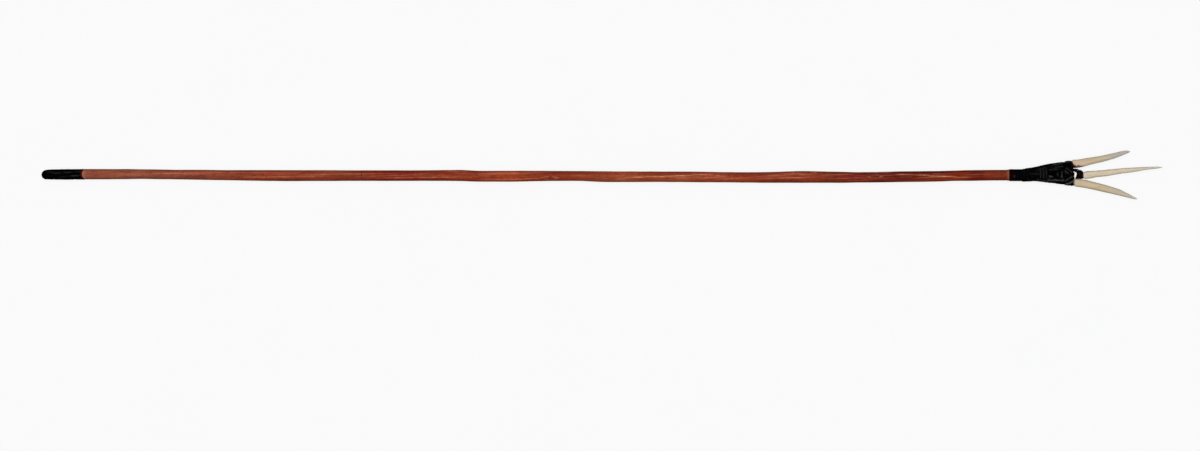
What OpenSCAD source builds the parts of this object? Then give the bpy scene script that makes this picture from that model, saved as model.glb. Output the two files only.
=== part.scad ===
// Three-pronged fishing spear, lying on its side on a flat surface.
// +X runs along the shaft to the points, +Y is the side of the higher outer
// prong, +Z is up. The surface it lies on is z = 0, and the origin is the
// centre of the footprint.

/* [Overall] */
// Length from the butt end to the longest point
overall_len = 1356; // [1250:1:1500]
// Length of the black coated butt
butt_len = 50; // [42:1:60]
// Length of the straight round stretch in front of the butt coat
grip_len = 30; // [20:1:40]

/* [Shaft] */
// Diameter of the straight stretch in front of the butt coat
grip_d = 12.4; // [12:0.1:12.8]
// Diameter of the coated butt
butt_d = 12.2; // [11.8:0.1:12.4]
// Wall of the butt coat
coat_t = 0.8; // [0.6:0.1:1.2]
// Diameter of the shaft where it enters the lashing
neck_d = 12.5; // [12.2:0.1:12.8]
// How much of the stick's natural side bend is kept
bend = 1; // [0:0.1:1.2]

/* [Head] */
// Height of the head's middle plane above the surface
head_z = 7.6; // [7.6:0.1:8.2]
// Half thickness of the tongue cut on the shaft's front end
tongue_half_t = 4; // [3.6:0.1:4.4]
// Half thickness of the outer prongs' flat tails
tail_half_t = 3.5; // [3:0.1:3.7]
// Half thickness of the middle prong's tang
tang_half_t = 2.6; // [2.2:0.1:3]
// Depth of the binding notches in the outer prongs
notch = 0.8; // [0.4:0.1:1]

/* [Bindings] */
// Cord thickness of the neck whipping
whip_t = 0.7; // [0.5:0.1:0.9]
// Length of the neck whipping
whip_len = 15.5; // [12:0.5:20]
// Length of the two riding turns in front of the whipping
hitch_len = 4; // [3:0.5:5]
// Length of the raised band of turns at the mouth
band_len = 11; // [9:0.5:13]

/* [Hidden] */

ochre = [0.50, 0.22, 0.14];
bare_wood = [0.72, 0.55, 0.36];
bone = [0.78, 0.70, 0.56];
black_cord = [0.05, 0.045, 0.04];
cord_brown = [0.30, 0.22, 0.14];
pitch = [0.03, 0.027, 0.025];

x_butt = -overall_len / 2;         // butt end
x_mouth = overall_len / 2 - 107;   // front plane of the head
centre_y = 0.2;                    // brings the footprint's centre to y = 0
butt_y = 0.7;                      // axis of the butt
butt_z = grip_d / 2;
edge_len = 1.6;                    // thinned front edge of the butt coat
neck_y = -0.4;                     // axis of the neck
d_first = butt_len + grip_len;     // start of the bent stretch, from the butt end
d_last = x_mouth - 81 - x_butt;    // end of the bent stretch
fan_u0 = -58.5;                    // rear end of the fan, from the mouth
hitch_u0 = fan_u0 - hitch_len;
whip_u0 = hitch_u0 - whip_len;

// The stick as it grew: [share of the bent stretch, side offset, diameter]
stick = [
    [0.00, butt_y, grip_d - 0.3], [0.025, 1.0, 12.2], [0.07, 0.5, 11.7], [0.10, 0.1, 12.0],
    [0.13, -0.3, 12.3], [0.165, -0.7, 12.8], [0.20, -0.9, 13.1], [0.36, -0.8, 13.0],
    [0.395, -0.9, 13.4], [0.415, -1.4, 13.1], [0.46, -1.7, 13.2], [0.52, -1.3, 12.0],
    [0.55, -2.0, 13.0], [0.66, -2.5, 12.8], [0.72, -3.1, 12.7], [0.77, -2.5, 14.1],
    [0.83, -3.0, 12.6], [0.91, -2.0, 12.6], [0.97, -0.6, 12.6], [1.00, neck_y, neck_d - 0.3]];

// Exposed prongs: [distance in front of the mouth, side position, width, depth, height offset]
upper_rows = [
    [0, 12.8, 9.4, 7.4, 0], [12, 14.9, 10.2, 7.6, 0.1], [20, 16.6, 9.2, 7.4, 0.2],
    [34, 19.4, 8.3, 6.8, 0.5], [41, 21.2, 7.8, 6.4, 0.6], [49, 23.3, 7.0, 5.8, 0.8], [56, 25.4, 5.9, 4.9, 1.0],
    [63, 27.4, 4.3, 3.6, 1.2], [67, 28.3, 2.6, 2.2, 1.3], [69.5, 28.6, 0.9, 0.9, 1.3]];
lower_rows = [
    [0, -9.4, 8.6, 7.2, 0], [12.5, -10.8, 10.2, 7.6, 0], [20, -12.5, 9.8, 7.5, -0.1],
    [34, -15.8, 9.5, 7.0, -0.3], [49, -19.8, 8.5, 6.2, -0.5], [56, -21.8, 7.6, 5.4, -0.6],
    [63, -24.4, 6.0, 4.4, -0.7], [70.5, -27.4, 3.9, 3.0, -0.8], [74, -28.9, 2.2, 2.0, -0.8],
    [76.5, -29.6, 0.9, 0.9, -0.8]];
middle_rows = [
    [11.8, -0.4, 9.0, 7.2, 0], [20, 0.1, 9.2, 7.4, 0], [27, 1.0, 8.4, 7.2, 0],
    [42, 2.6, 8.0, 6.6, 0.2], [56, 4.6, 7.0, 5.8, 0.4], [70, 5.9, 6.2, 5.0, 0.5],
    [85, 7.7, 4.8, 4.0, 0.6], [99.5, 8.8, 3.6, 3.0, 0.7], [104, 9.0, 2.2, 2.0, 0.7],
    [107, 9.2, 0.9, 0.9, 0.7]];

// Outer prongs' tails inside the head: [distance from the mouth, outer edge]
upper_tail = [[-54, 5.4], [-50, 6.9], [-40, 9.3], [-30, 11.4], [-20, 12.8], [-11, 14.0], [0, 15.1]];
lower_tail = [[-54, -5.4], [-50, -5.8], [-40, -6.4], [-30, -7.6], [-20, -8.8], [-11, -10.0], [0, -11.5]];

// Head sections: [distance from the mouth, top edge, bottom edge, half depth, squareness]
fan_rows = [
    [-58.5, 7.6, -7.9, 7.0, 2], [-49, 9.3, -7.8, 7.1, 2.2], [-40, 11.4, -8.4, 7.2, 2.5],
    [-30, 13.5, -9.7, 7.3, 2.7], [-20, 14.9, -10.9, 7.4, 2.8], [-band_len, 16.1, -12.1, 7.5, 3]];
core_rows = [
    [-55, 5.7, -6.5, 6.1, 2], [-49, 7.6, -6.3, 5.7, 2.2], [-40, 9.8, -6.8, 5.7, 2.5],
    [-30, 11.9, -8.1, 5.8, 2.7], [-20, 13.3, -9.3, 5.9, 2.8], [-11, 14.5, -10.5, 6.0, 2.9],
    [0, 15.6, -12.0, 6.0, 3]];
band_rows = [
    [-band_len, 16.6, -12.5, 7.6, 3], [-5, 17.1, -13.1, 7.6, 3], [-1.2, 16.8, -13.2, 7.3, 3],
    [0, 16.0, -12.6, 6.7, 3]];

// Straight lines that the inner pieces share
function upper_seat(u) = 8.2 + 0.064 * u;               // tongue and tang against the upper prong
function lower_seat(u) = -5.0 - 0.004 * u;              // tongue and wedge against the lower prong
tang_end = -40;
function tang_under(u) = u < -15
    ? upper_seat(tang_end) + (3.6 - upper_seat(tang_end)) * (u - tang_end) / (-15 - tang_end)
    : 3.6;
tongue_end = -21;
split_end = -38;

// Smooth interpolation through the rows of a table
function cr(a, b, c, d, t) = 0.5 * ((2 * b) + (c - a) * t + (2 * a - 5 * b + 4 * c - d) * t * t
    + (3 * b - a - 3 * c + d) * t * t * t);
function row(r, i) = r[max(0, min(len(r) - 1, i))];
function smooth_rows(r, steps) = [
    for (i = [0 : len(r) - 2]) for (s = [0 : steps - 1])
        let (t = s / steps, a = row(r, i - 1), b = row(r, i), c = row(r, i + 1), d = row(r, i + 2))
        [for (k = [0 : len(b) - 1]) k == 0 ? b[0] + (c[0] - b[0]) * t : cr(a[k], b[k], c[k], d[k], t)],
    r[len(r) - 1]];

// A closed ring of n points in a plane across X, round (e = 2) or squarish (e > 2)
function ring(x, y, z, w, h, e, n) = [for (i = [0 : n - 1])
    let (c = cos(360 * (i + 0.5) / n), s = sin(360 * (i + 0.5) / n))
    [x, y + w / 2 * sign(c) * pow(abs(c), 2 / e), z + h / 2 * sign(s) * pow(abs(s), 2 / e)]];

// A solid through rings that all have the same number of points
module loft(rings) {
    n = len(rings[0]);
    m = len(rings);
    polyhedron(
        points = [for (r = rings) for (p = r) p],
        faces = concat(
            [[for (i = [0 : n - 1]) i]],
            [[for (i = [n - 1 : -1 : 0]) (m - 1) * n + i]],
            [for (j = [0 : m - 2]) for (i = [0 : n - 1])
                [j * n + i, (j + 1) * n + i, j * n + (i + 1) % n]],
            [for (j = [0 : m - 2]) for (i = [0 : n - 1])
                [(j + 1) * n + i, (j + 1) * n + (i + 1) % n, j * n + (i + 1) % n]]));
}

// Places what is drawn from the mouth's plane and the head's middle plane
module head_place() translate([x_mouth, centre_y, head_z]) children();

// A round bar along X between two distances from the mouth, on the neck's axis
module neck_bar(u0, u1, r)
    translate([u0, neck_y, 0]) rotate([0, 90, 0]) cylinder(r = r, h = u1 - u0, $fn = 96);

// A flat plate with the given outline, half_t thick to each side of the middle plane
module plate(half_t, outline)
    translate([0, 0, -half_t]) linear_extrude(2 * half_t) polygon(outline);

module section_form(rows, n)
    loft([for (r = smooth_rows(rows, 2))
        ring(r[0], (r[1] + r[2]) / 2, 0, r[1] - r[2], 2 * r[3], r[4], n)]);

module exposed(rows)
    loft([for (r = smooth_rows(rows, 2)) ring(r[0], r[1], r[4], r[2], r[3], 2.3, 16)]);

// Slab between two distances from the mouth
module slab(u0, u1) translate([u0, -30, -15]) cube([u1 - u0, 60, 30]);

// ---------- shaft ----------

module butt_profile(grow, feather) {
    // from the tip to the end of the coat, grow is how far inside the coat's face it lies
    // and feather how much the coat thins over its last edge_len
    r = butt_d / 2 - grow;
    polygon(concat(
        [[0, grow]],
        [for (i = [1 : 8]) [(r - 0.75) * sin(i * 90 / 8), grow + 6 - 6 * cos(i * 90 / 8)]],
        [[r - 0.3, grow + 10.5], [r, 18]],
        feather > 0 ? [[r, butt_len - edge_len]] : [],
        [[r - feather, butt_len], [0, butt_len]]));
}

module butt_form(grow, feather = 0)
    translate([x_butt, butt_y + centre_y, butt_z]) rotate([0, 90, 0])
        rotate_extrude($fn = 96) butt_profile(grow, feather);

module bent_stretch() {
    rows = smooth_rows(stick, 3);
    span = d_last - d_first;
    loft([for (r = rows)
        ring(x_butt + d_first - 1 + r[0] * (span + 2),
             centre_y + r[1] * bend + (1 - bend) * (butt_y + (neck_y - butt_y) * r[0]),
             butt_z + (head_z - butt_z) * (1 - pow(1 - r[0], 2)), r[2], r[2], 2, 20)]);
}

// The neck and the split, flat-sided tongue in front of it
module neck_and_tongue()
    intersection() {
        neck_bar(-82, tongue_end, neck_d / 2);
        plate(10, [
            [-90, 9], [-54.5, 9], [-54.5, upper_seat(-54.5)], [tang_end, upper_seat(tang_end)],
            [tongue_end, tang_under(tongue_end)], [tongue_end, 1.8], [split_end, -0.4],
            [tongue_end, -2.6], [tongue_end, lower_seat(tongue_end)],
            [-54.5, lower_seat(-54.5)], [-54.5, -9], [-90, -9]]);
        rotate([90, 0, 0]) translate([0, 0, -15]) linear_extrude(30) polygon([
            [-90, -9], [-56, -9], [-56, -neck_d / 2], [-50, -tongue_half_t],
            [tongue_end, -tongue_half_t], [tongue_end, tongue_half_t],
            [-50, tongue_half_t], [-56, neck_d / 2], [-56, 9], [-90, 9]]);
    }

// A peeled natural stick, whittled to a split tongue in front and turned down under the butt coat
module shaft()
    color(ochre) union() {
        butt_form(coat_t);
        translate([x_butt + butt_len, butt_y + centre_y, butt_z]) rotate([0, 90, 0])
            cylinder(d = grip_d, h = grip_len, $fn = 96);
        bent_stretch();
        head_place() neck_and_tongue();
    }

// Black coat dipped over the butt end
module butt_pitch_coat()
    color(pitch) difference() {
        butt_form(0, coat_t * 0.45);
        butt_form(coat_t);
    }

// ---------- bindings on the neck ----------

// Close turns of thin cord behind the fan
module neck_whipping()
    color(black_cord) head_place() difference() {
        neck_bar(whip_u0, hitch_u0, neck_d / 2 + whip_t);
        neck_bar(whip_u0 - 1, hitch_u0 + 1, neck_d / 2);
    }

// Two riding turns with their knot on the lower edge
module neck_hitch()
    color(black_cord) head_place() difference() {
        union() {
            neck_bar(hitch_u0, fan_u0, neck_d / 2 + 1.2);
            translate([(hitch_u0 + fan_u0) / 2, neck_y - neck_d / 2 - 0.2, 0])
                sphere(r = min(1.9, hitch_len / 2 - 0.1), $fn = 32);
        }
        neck_bar(hitch_u0 - 1, fan_u0 + 1, neck_d / 2);
    }

// ---------- prongs ----------

// Flat tail with its outer corners taken off, s = 1 for the upper prong and -1 for the lower
module tail(edge, s)
    loft(concat(
        [for (r = edge)
            let (seat = s > 0 ? upper_seat(r[0]) : lower_seat(r[0]),
                 c = min(1.4, abs(r[1] - seat) * 0.45))
            tail_ring(r[0], seat, r[1], c, tail_half_t, s)],
        [tail_ring(1.5, s * (s > 0 ? 10.5 : 7.2), s * (s > 0 ? 14.5 : 11), 1.2, 2.2, s)]));

function tail_ring(u, y_in, y_out, c, h, s) =
    let (p = [[u, y_in, -h], [u, y_out - s * c, -h], [u, y_out, -h + c], [u, y_out, h - c],
              [u, y_out - s * c, h], [u, y_in, h]])
    s > 0 ? p : [for (i = [5 : -1 : 0]) p[i]];

function edge_at(edge, u) = lookup(u, edge);

module notches(edge, s)
    for (c = [[-38, -33], [-17, -12]])
        plate(6, [
            [c[0], edge_at(edge, c[0]) - s * notch], [c[1], edge_at(edge, c[1]) - s * notch],
            [c[1], s * 20], [c[0], s * 20]]);

module prong_upper()
    color(bone) head_place() difference() {
        union() { tail(upper_tail, 1); exposed(upper_rows); }
        notches(upper_tail, 1);
    }

module prong_lower()
    color(bone) head_place() difference() {
        union() { tail(lower_tail, -1); exposed(lower_rows); }
        notches(lower_tail, -1);
    }

// Tang, crank and waist of the middle prong, in plan
module middle_tang()
    plate(tang_half_t, [
        [tang_end, upper_seat(tang_end)], [-6, upper_seat(-6)], [0, 6.1], [4, 5.9], [6.5, 4.6],
        [9, 4.4], [11, 2.9], [12.6, 2.9], [12.6, -3.5], [8.5, -4.1], [5, -4.1], [4.6, -3.2],
        [5.2, -1.5], [4.6, 0.9], [2, 3.2], [0, 3.6], [-15, 3.6]]);

module prong_middle()
    color(bone) head_place() union() {
        middle_tang();
        plate(3.3, [[6.5, 3.2], [12.6, 2.5], [12.6, -3.2], [6.5, -3.6]]);
        exposed(middle_rows);
    }

// Turns that bind the middle prong's waist and tie it back to the mouth
module middle_prong_binding()
    color(black_cord) head_place() difference() {
        union() {
            plate(3.4, [[0, 6.8], [4.3, 6.7], [6.5, 5.4], [6.5, 1], [3.2, 1], [0.9, 2.7], [0, 2.8]]);
            plate(4.1, [[4.3, 5.9], [6.5, 5.4], [9, 5.2], [11.8, 3.6], [11.8, -4.2], [8.3, -5.0],
                        [2.2, -5.0], [3.7, -3], [4.3, -1.3], [3.2, 1.0]]);
        }
        middle_tang();
        plate(3.3, [[6.5, 3.2], [12.6, 2.5], [12.6, -3.2], [6.5, -3.6]]);
    }

// Wedge driven into the split of the tongue, which holds the outer prongs apart
module spreader_wedge()
    color(bare_wood) head_place() plate(3.4, [
        [split_end, -0.4], [tongue_end, 1.8], [tongue_end, tang_under(tongue_end)], [-15, 3.6],
        [-2, 3.6], [-2, lower_seat(-2)], [tongue_end, lower_seat(tongue_end)], [tongue_end, -2.6]]);

// ---------- inside of the head ----------

module core() section_form(core_rows, 24);

// Everything that the pitch and the seizings close round
module inner_wood_and_bone() {
    neck_and_tongue();
    difference() {
        union() { tail(upper_tail, 1); tail(lower_tail, -1); }
        notches(upper_tail, 1);
        notches(lower_tail, -1);
    }
    middle_tang();
    plate(3.4, [
        [split_end, -0.4], [tongue_end, 1.8], [tongue_end, tang_under(tongue_end)], [-15, 3.6],
        [-2, 3.6], [-2, lower_seat(-2)], [tongue_end, lower_seat(tongue_end)], [tongue_end, -2.6]]);
}

// First seizing, over the tails' thin ends
module tail_seizing()
    color(cord_brown) head_place() difference() {
        intersection() { core(); slab(-38, -33); }
        inner_wood_and_bone();
    }

// Second seizing, behind the mouth
module front_seizing()
    color(cord_brown) head_place() difference() {
        intersection() { core(); slab(-17, -12); }
        inner_wood_and_bone();
    }

// Pitch that fills the head around the tongue, tails, tang and wedge
module pitch_fill()
    color(pitch) head_place() difference() {
        core();
        inner_wood_and_bone();
        slab(-38, -33);
        slab(-17, -12);
    }

// ---------- outer bindings ----------

// Turns that cover the flare
module fan_lashing()
    color(black_cord) head_place() difference() {
        section_form(fan_rows, 24);
        core();
        neck_bar(-60, -54.5, neck_d / 2);
    }

// Raised turns at the mouth
module mouth_band()
    color(black_cord) head_place() difference() {
        section_form(band_rows, 24);
        core();
    }

shaft();
butt_pitch_coat();
neck_whipping();
neck_hitch();
prong_upper();
prong_lower();
prong_middle();
spreader_wedge();
tail_seizing();
front_seizing();
pitch_fill();
fan_lashing();
mouth_band();
middle_prong_binding();
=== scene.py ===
"""Looks of a three-pronged fishing spear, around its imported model.

The spear lies on its side: +X runs to the points, +Z is up, and z = 0 is the surface it lies on.
Lengths are written in millimetres and become metres where a mesh is made. u is a distance in front
of the head's mouth (x = 571 mm).
"""

import math

import bmesh
import bpy
import numpy as np
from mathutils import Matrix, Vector


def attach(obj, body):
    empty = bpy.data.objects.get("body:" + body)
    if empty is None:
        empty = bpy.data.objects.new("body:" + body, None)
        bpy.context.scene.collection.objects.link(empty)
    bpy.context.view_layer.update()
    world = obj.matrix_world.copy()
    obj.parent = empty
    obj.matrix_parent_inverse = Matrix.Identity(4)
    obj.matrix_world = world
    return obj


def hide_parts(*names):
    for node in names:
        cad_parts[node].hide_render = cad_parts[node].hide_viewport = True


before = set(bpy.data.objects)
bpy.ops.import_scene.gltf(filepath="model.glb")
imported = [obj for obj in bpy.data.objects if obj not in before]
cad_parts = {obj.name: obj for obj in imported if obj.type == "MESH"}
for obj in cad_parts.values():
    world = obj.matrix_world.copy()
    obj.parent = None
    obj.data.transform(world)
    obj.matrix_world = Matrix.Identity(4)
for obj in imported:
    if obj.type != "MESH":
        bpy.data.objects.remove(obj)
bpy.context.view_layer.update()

X_MOUTH = 571.0
HEAD_Y, HEAD_Z = 0.2, 7.6
NECK_Y = -0.2
NECK_R = 6.25
TAU = 2 * math.pi


# ------------------------------------------------------------------ numbers

def _hash(ix, iy, seed):
    with np.errstate(over="ignore"):
        h = (ix.astype(np.uint32) * np.uint32(374761393)
             + iy.astype(np.uint32) * np.uint32(668265263)
             + np.uint32((seed * 2246822519) % 4294967296))
        h = (h ^ (h >> np.uint32(13))) * np.uint32(1274126177)
        h = h ^ (h >> np.uint32(16))
    return h.astype(np.float64) / 4294967295.0


def noise2(x, y, seed, period=0):
    """Smooth noise from -1 to 1. y repeats after period, if that isn't 0."""
    x, y = np.broadcast_arrays(np.asarray(x, float), np.asarray(y, float))
    x0, y0 = np.floor(x), np.floor(y)
    fx, fy = x - x0, y - y0
    fx = fx * fx * fx * (fx * (fx * 6 - 15) + 10)
    fy = fy * fy * fy * (fy * (fy * 6 - 15) + 10)
    x0, y0 = x0.astype(np.int64), y0.astype(np.int64)

    def at(i, j):
        yy = (y0 + j) % period if period else y0 + j
        return _hash(x0 + i, yy, seed)

    a = at(0, 0) * (1 - fx) + at(1, 0) * fx
    b = at(0, 1) * (1 - fx) + at(1, 1) * fx
    return (a * (1 - fy) + b * fy) * 2 - 1


def noise1(x, seed):
    return noise2(x, 0.37, seed)


def table(rows, x):
    """The columns of a table of rows [key, ...] at the keys x, along smooth curves."""
    rows = np.asarray(rows, float)
    k, v = rows[:, 0], rows[:, 1:]
    x = np.clip(np.asarray(x, float), k[0], k[-1])
    m = np.gradient(v, k, axis=0)
    i = np.clip(np.searchsorted(k, x, side="right") - 1, 0, len(k) - 2)
    h = (k[i + 1] - k[i])[:, None]
    t = (x - k[i])[:, None] / h
    return ((2 * t**3 - 3 * t**2 + 1) * v[i] + (t**3 - 2 * t**2 + t) * h * m[i]
            + (3 * t**2 - 2 * t**3) * v[i + 1] + (t**3 - t**2) * h * m[i + 1])


def ramp(x, a, b):
    """0 before a, 1 after b, smooth in between."""
    t = np.clip((np.asarray(x, float) - a) / (b - a), 0, 1)
    return t * t * (3 - 2 * t)


def hump(x, width):
    return np.exp(-(np.asarray(x, float) / width) ** 2)


def unit(v):
    return v / np.maximum(np.linalg.norm(v, axis=-1, keepdims=True), 1e-12)


# ------------------------------------------------------------------ meshes

class Build:
    """Collects closed tubes and makes one mesh of them, with a strand map (metres along and round)
    and a map without overlaps for the finished surface."""

    def __init__(self):
        self.v, self.q, self.t = [], [], []
        self.quv, self.tuv = [], []
        self.chunks = []
        self.count = self.nq = self.nt = 0
        self.attrs = {}

    def tube(self, P, phase=0.0, **attrs):
        P = np.asarray(P, float)
        m, n, _ = P.shape
        base = self.count
        mid = P.mean(1)
        centre = np.stack([mid[0], mid[-1]])
        verts = np.concatenate([P.reshape(-1, 3), centre])
        verts[:, 2] = np.maximum(verts[:, 2], 0.0)
        self.v.append(verts)
        ids = base + np.arange(m * n).reshape(m, n)
        nxt = np.roll(ids, -1, 1)
        q = np.stack([ids[:-1], nxt[:-1], nxt[1:], ids[1:]], -1).reshape(-1, 4)
        step = np.linalg.norm(np.diff(P, axis=0), axis=2).mean(1)
        s = np.concatenate([[0], np.cumsum(step)])
        perim = float(np.linalg.norm(np.roll(P, -1, 1) - P, axis=2).sum(1).mean())
        t = np.linspace(0, perim, n + 1)
        S0, S1 = np.repeat(s[:-1], n), np.repeat(s[1:], n)
        T0, T1 = np.tile(t[:-1], m - 1), np.tile(t[1:], m - 1)
        quv = np.stack([np.stack([S0, T0], -1), np.stack([S0, T1], -1),
                        np.stack([S1, T1], -1), np.stack([S1, T0], -1)], 1)
        a, b = base + m * n, base + m * n + 1
        first, last = ids[0], ids[-1]
        t0 = np.stack([np.full(n, a), np.roll(first, -1), first], -1)
        t1 = np.stack([np.full(n, b), last, np.roll(last, -1)], -1)
        ang = TAU * np.arange(n) / n
        circ = np.stack([np.cos(ang), np.sin(ang)], -1)
        r0 = np.linalg.norm(P[0] - mid[0], axis=1).mean()
        r1 = np.linalg.norm(P[-1] - mid[-1], axis=1).mean()
        zero = np.zeros((n, 2))
        u0 = np.stack([zero, np.roll(circ, -1, 0) * r0, circ * r0], 1)
        u1 = np.stack([zero, circ * r1, np.roll(circ, -1, 0) * r1], 1)
        self.chunks.append(dict(kind="q", first=self.nq, rows=m - 1, n=n, s=s, h=perim))
        self.chunks.append(dict(kind="t", first=self.nt, n=n, r=max(r0, 0.02)))
        self.chunks.append(dict(kind="t", first=self.nt + n, n=n, r=max(r1, 0.02)))
        self.q.append(q); self.t += [t0, t1]
        self.quv.append(quv); self.tuv += [u0, u1]
        total = m * n + 2
        for name in set(self.attrs) | set(attrs):
            have = self.attrs.setdefault(name, [])
            width = None
            value = attrs.get(name, 0.0)
            value = np.asarray(value, float)
            if value.ndim == 3:  # a vector at each vertex
                ends = np.stack([value[0].mean(0), value[-1].mean(0)])
                flat = np.concatenate([value.reshape(-1, value.shape[2]), ends])
            else:
                grid = np.broadcast_to(value if value.ndim == 2 else
                                       (value[:, None] if value.ndim == 1 else value), (m, n))
                flat = np.concatenate([grid.reshape(-1), [grid[0].mean(), grid[-1].mean()]])
            if sum(len(h) for h in have) < base:
                shape = (base - sum(len(h) for h in have),) + flat.shape[1:]
                have.append(np.zeros(shape))
            have.append(flat)
        self.count += total
        self.nq += len(q); self.nt += 2 * n

    def layout(self):
        """Lays every stretch out flat, side by side, without overlaps, in the unit square."""
        area = sum(c["s"][-1] * c["h"] if c["kind"] == "q" else 4 * c["r"] ** 2 for c in self.chunks)
        width = math.sqrt(area) * 1.03
        for _ in range(40):
            gap = width * 0.004
            items = []
            for ci, c in enumerate(self.chunks):
                if c["kind"] == "t":
                    items.append((2 * c["r"], 2 * c["r"], ci, 0, 0))
                    continue
                j = 0
                while j < c["rows"]:
                    k = int(np.searchsorted(c["s"], c["s"][j] + width - 2 * gap, side="right")) - 1
                    k = min(max(k, j + 1), c["rows"])
                    items.append((c["h"], c["s"][k] - c["s"][j], ci, j, k))
                    j = k
            items.sort(key=lambda i: (-i[0], -i[1], i[2], i[3]))
            places, x, y, row = [], gap, gap, 0.0
            for h, w, ci, j, k in items:
                if x + w + gap > width + 1e-9 and x > gap:
                    x, y, row = gap, y + row + gap, 0.0
                places.append((x, y, h, w, ci, j, k))
                x += w + gap
                row = max(row, h)
            if y + row + gap <= width:
                break
            width *= 1.02
        quv = np.concatenate(self.quv) if self.quv else np.zeros((0, 4, 2))
        tuv = np.concatenate(self.tuv) if self.tuv else np.zeros((0, 3, 2))
        qo, to = quv.copy(), tuv.copy()
        for x, y, h, w, ci, j, k in places:
            c = self.chunks[ci]
            if c["kind"] == "q":
                a, b = c["first"] + j * c["n"], c["first"] + k * c["n"]
                qo[a:b] = quv[a:b] - [c["s"][j], 0] + [x, y]
            else:
                a, b = c["first"], c["first"] + c["n"]
                to[a:b] = tuv[a:b] + [x + c["r"], y + c["r"]]
        return quv * 0.001, tuv * 0.001, qo / width, to / width

    def make(self, name, material, slot, replaces=()):
        v = np.concatenate(self.v) * 0.001
        q = np.concatenate(self.q) if self.q else np.zeros((0, 4), int)
        t = np.concatenate(self.t) if self.t else np.zeros((0, 3), int)
        strand_q, strand_t, flat_q, flat_t = self.layout()
        me = bpy.data.meshes.new(name)
        me.vertices.add(len(v))
        me.vertices.foreach_set("co", v.astype(np.float32).ravel())
        me.loops.add(4 * len(q) + 3 * len(t))
        me.loops.foreach_set("vertex_index", np.concatenate([q.ravel(), t.ravel()]).astype(np.int32))
        me.polygons.add(len(q) + len(t))
        me.polygons.foreach_set("loop_start", np.concatenate(
            [4 * np.arange(len(q)), 4 * len(q) + 3 * np.arange(len(t))]).astype(np.int32))
        me.update(calc_edges=True)
        me.validate()
        for uvname, a, b in (("OFBake", flat_q, flat_t), ("Strand", strand_q, strand_t)):
            layer = me.uv_layers.new(name=uvname)
            layer.data.foreach_set("uv", np.concatenate([a.reshape(-1), b.reshape(-1)]).astype(np.float32))
        me.uv_layers.active = me.uv_layers["OFBake"]
        for key, parts in self.attrs.items():
            flat = np.concatenate(parts)
            if len(flat) < len(v):
                flat = np.concatenate([flat, np.zeros((len(v) - len(flat),) + flat.shape[1:])])
            if flat.ndim == 2:
                at = me.attributes.new(key, "FLOAT_VECTOR", "POINT")
                at.data.foreach_set("vector", flat.astype(np.float32).ravel())
            else:
                at = me.attributes.new(key, "FLOAT", "POINT")
                at.data.foreach_set("value", flat.astype(np.float32))
        bm = bmesh.new()
        bm.from_mesh(me)
        bmesh.ops.recalc_face_normals(bm, faces=bm.faces[:])
        for f in bm.faces:
            f.smooth = True
        bm.to_mesh(me)
        bm.free()
        ob = bpy.data.objects.new(name, me)
        bpy.context.scene.collection.objects.link(ob)
        me.materials.append(material)
        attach(ob, "root")
        if replaces:
            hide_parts(*replaces)
        return ob


def sweep(P, N, half_w, half_t, sides=10, ply=0.0, twist=2.4, phase=0.0, blunt=1.0, square=2.0):
    """A tube of oval section along the points P. N is the direction of its thickness. ply makes it a
    two-strand twisted cord, with a turn each twist millimetres. The ends are rounded over blunt mm."""
    P = np.asarray(P, float)
    T = unit(np.gradient(P, axis=0))
    B = unit(np.cross(T, N))
    M = unit(np.cross(B, T))
    s = np.concatenate([[0], np.cumsum(np.linalg.norm(np.diff(P, axis=0), axis=1))])
    end = np.minimum(s, s[-1] - s)
    f = np.sqrt(np.clip(1 - np.clip(1 - end / max(blunt, 1e-6), 0, 1) ** 2, 0.02, 1))
    a = TAU * np.arange(sides) / sides
    r = 1 + ply * np.cos(2 * (a[None] - TAU * s[:, None] / twist / 2 + phase))
    c, d = np.cos(a), np.sin(a)
    c = np.sign(c) * np.abs(c) ** (2 / square)
    d = np.sign(d) * np.abs(d) ** (2 / square)
    hw = np.broadcast_to(half_w, s.shape) * f
    ht = np.broadcast_to(half_t, s.shape) * f
    return (P[:, None] + B[:, None] * (hw[:, None] * c[None] * r)[..., None]
            + M[:, None] * (ht[:, None] * d[None] * r)[..., None])


def resample(P, step):
    P = np.asarray(P, float)
    s = np.concatenate([[0], np.cumsum(np.linalg.norm(np.diff(P, axis=0), axis=1))])
    k = max(4, int(round(s[-1] / step)))
    at = np.linspace(0, s[-1], k + 1)
    return np.stack([np.interp(at, s, P[:, i]) for i in range(P.shape[1])], -1), at


def smooth_path(points, per=16):
    """Catmull-Rom through given points."""
    p = np.asarray(points, float)
    p = np.concatenate([[2 * p[0] - p[1]], p, [2 * p[-1] - p[-2]]])
    out = []
    for i in range(1, len(p) - 2):
        a, b, c, d = p[i - 1], p[i], p[i + 1], p[i + 2]
        t = (np.arange(per) / per)[:, None]
        out.append(0.5 * (2 * b + (c - a) * t + (2 * a - 5 * b + 4 * c - d) * t**2
                          + (3 * b - a - 3 * c + d) * t**3))
    out.append(p[-2][None])
    return np.concatenate(out)


# ------------------------------------------------------------------ materials

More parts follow.
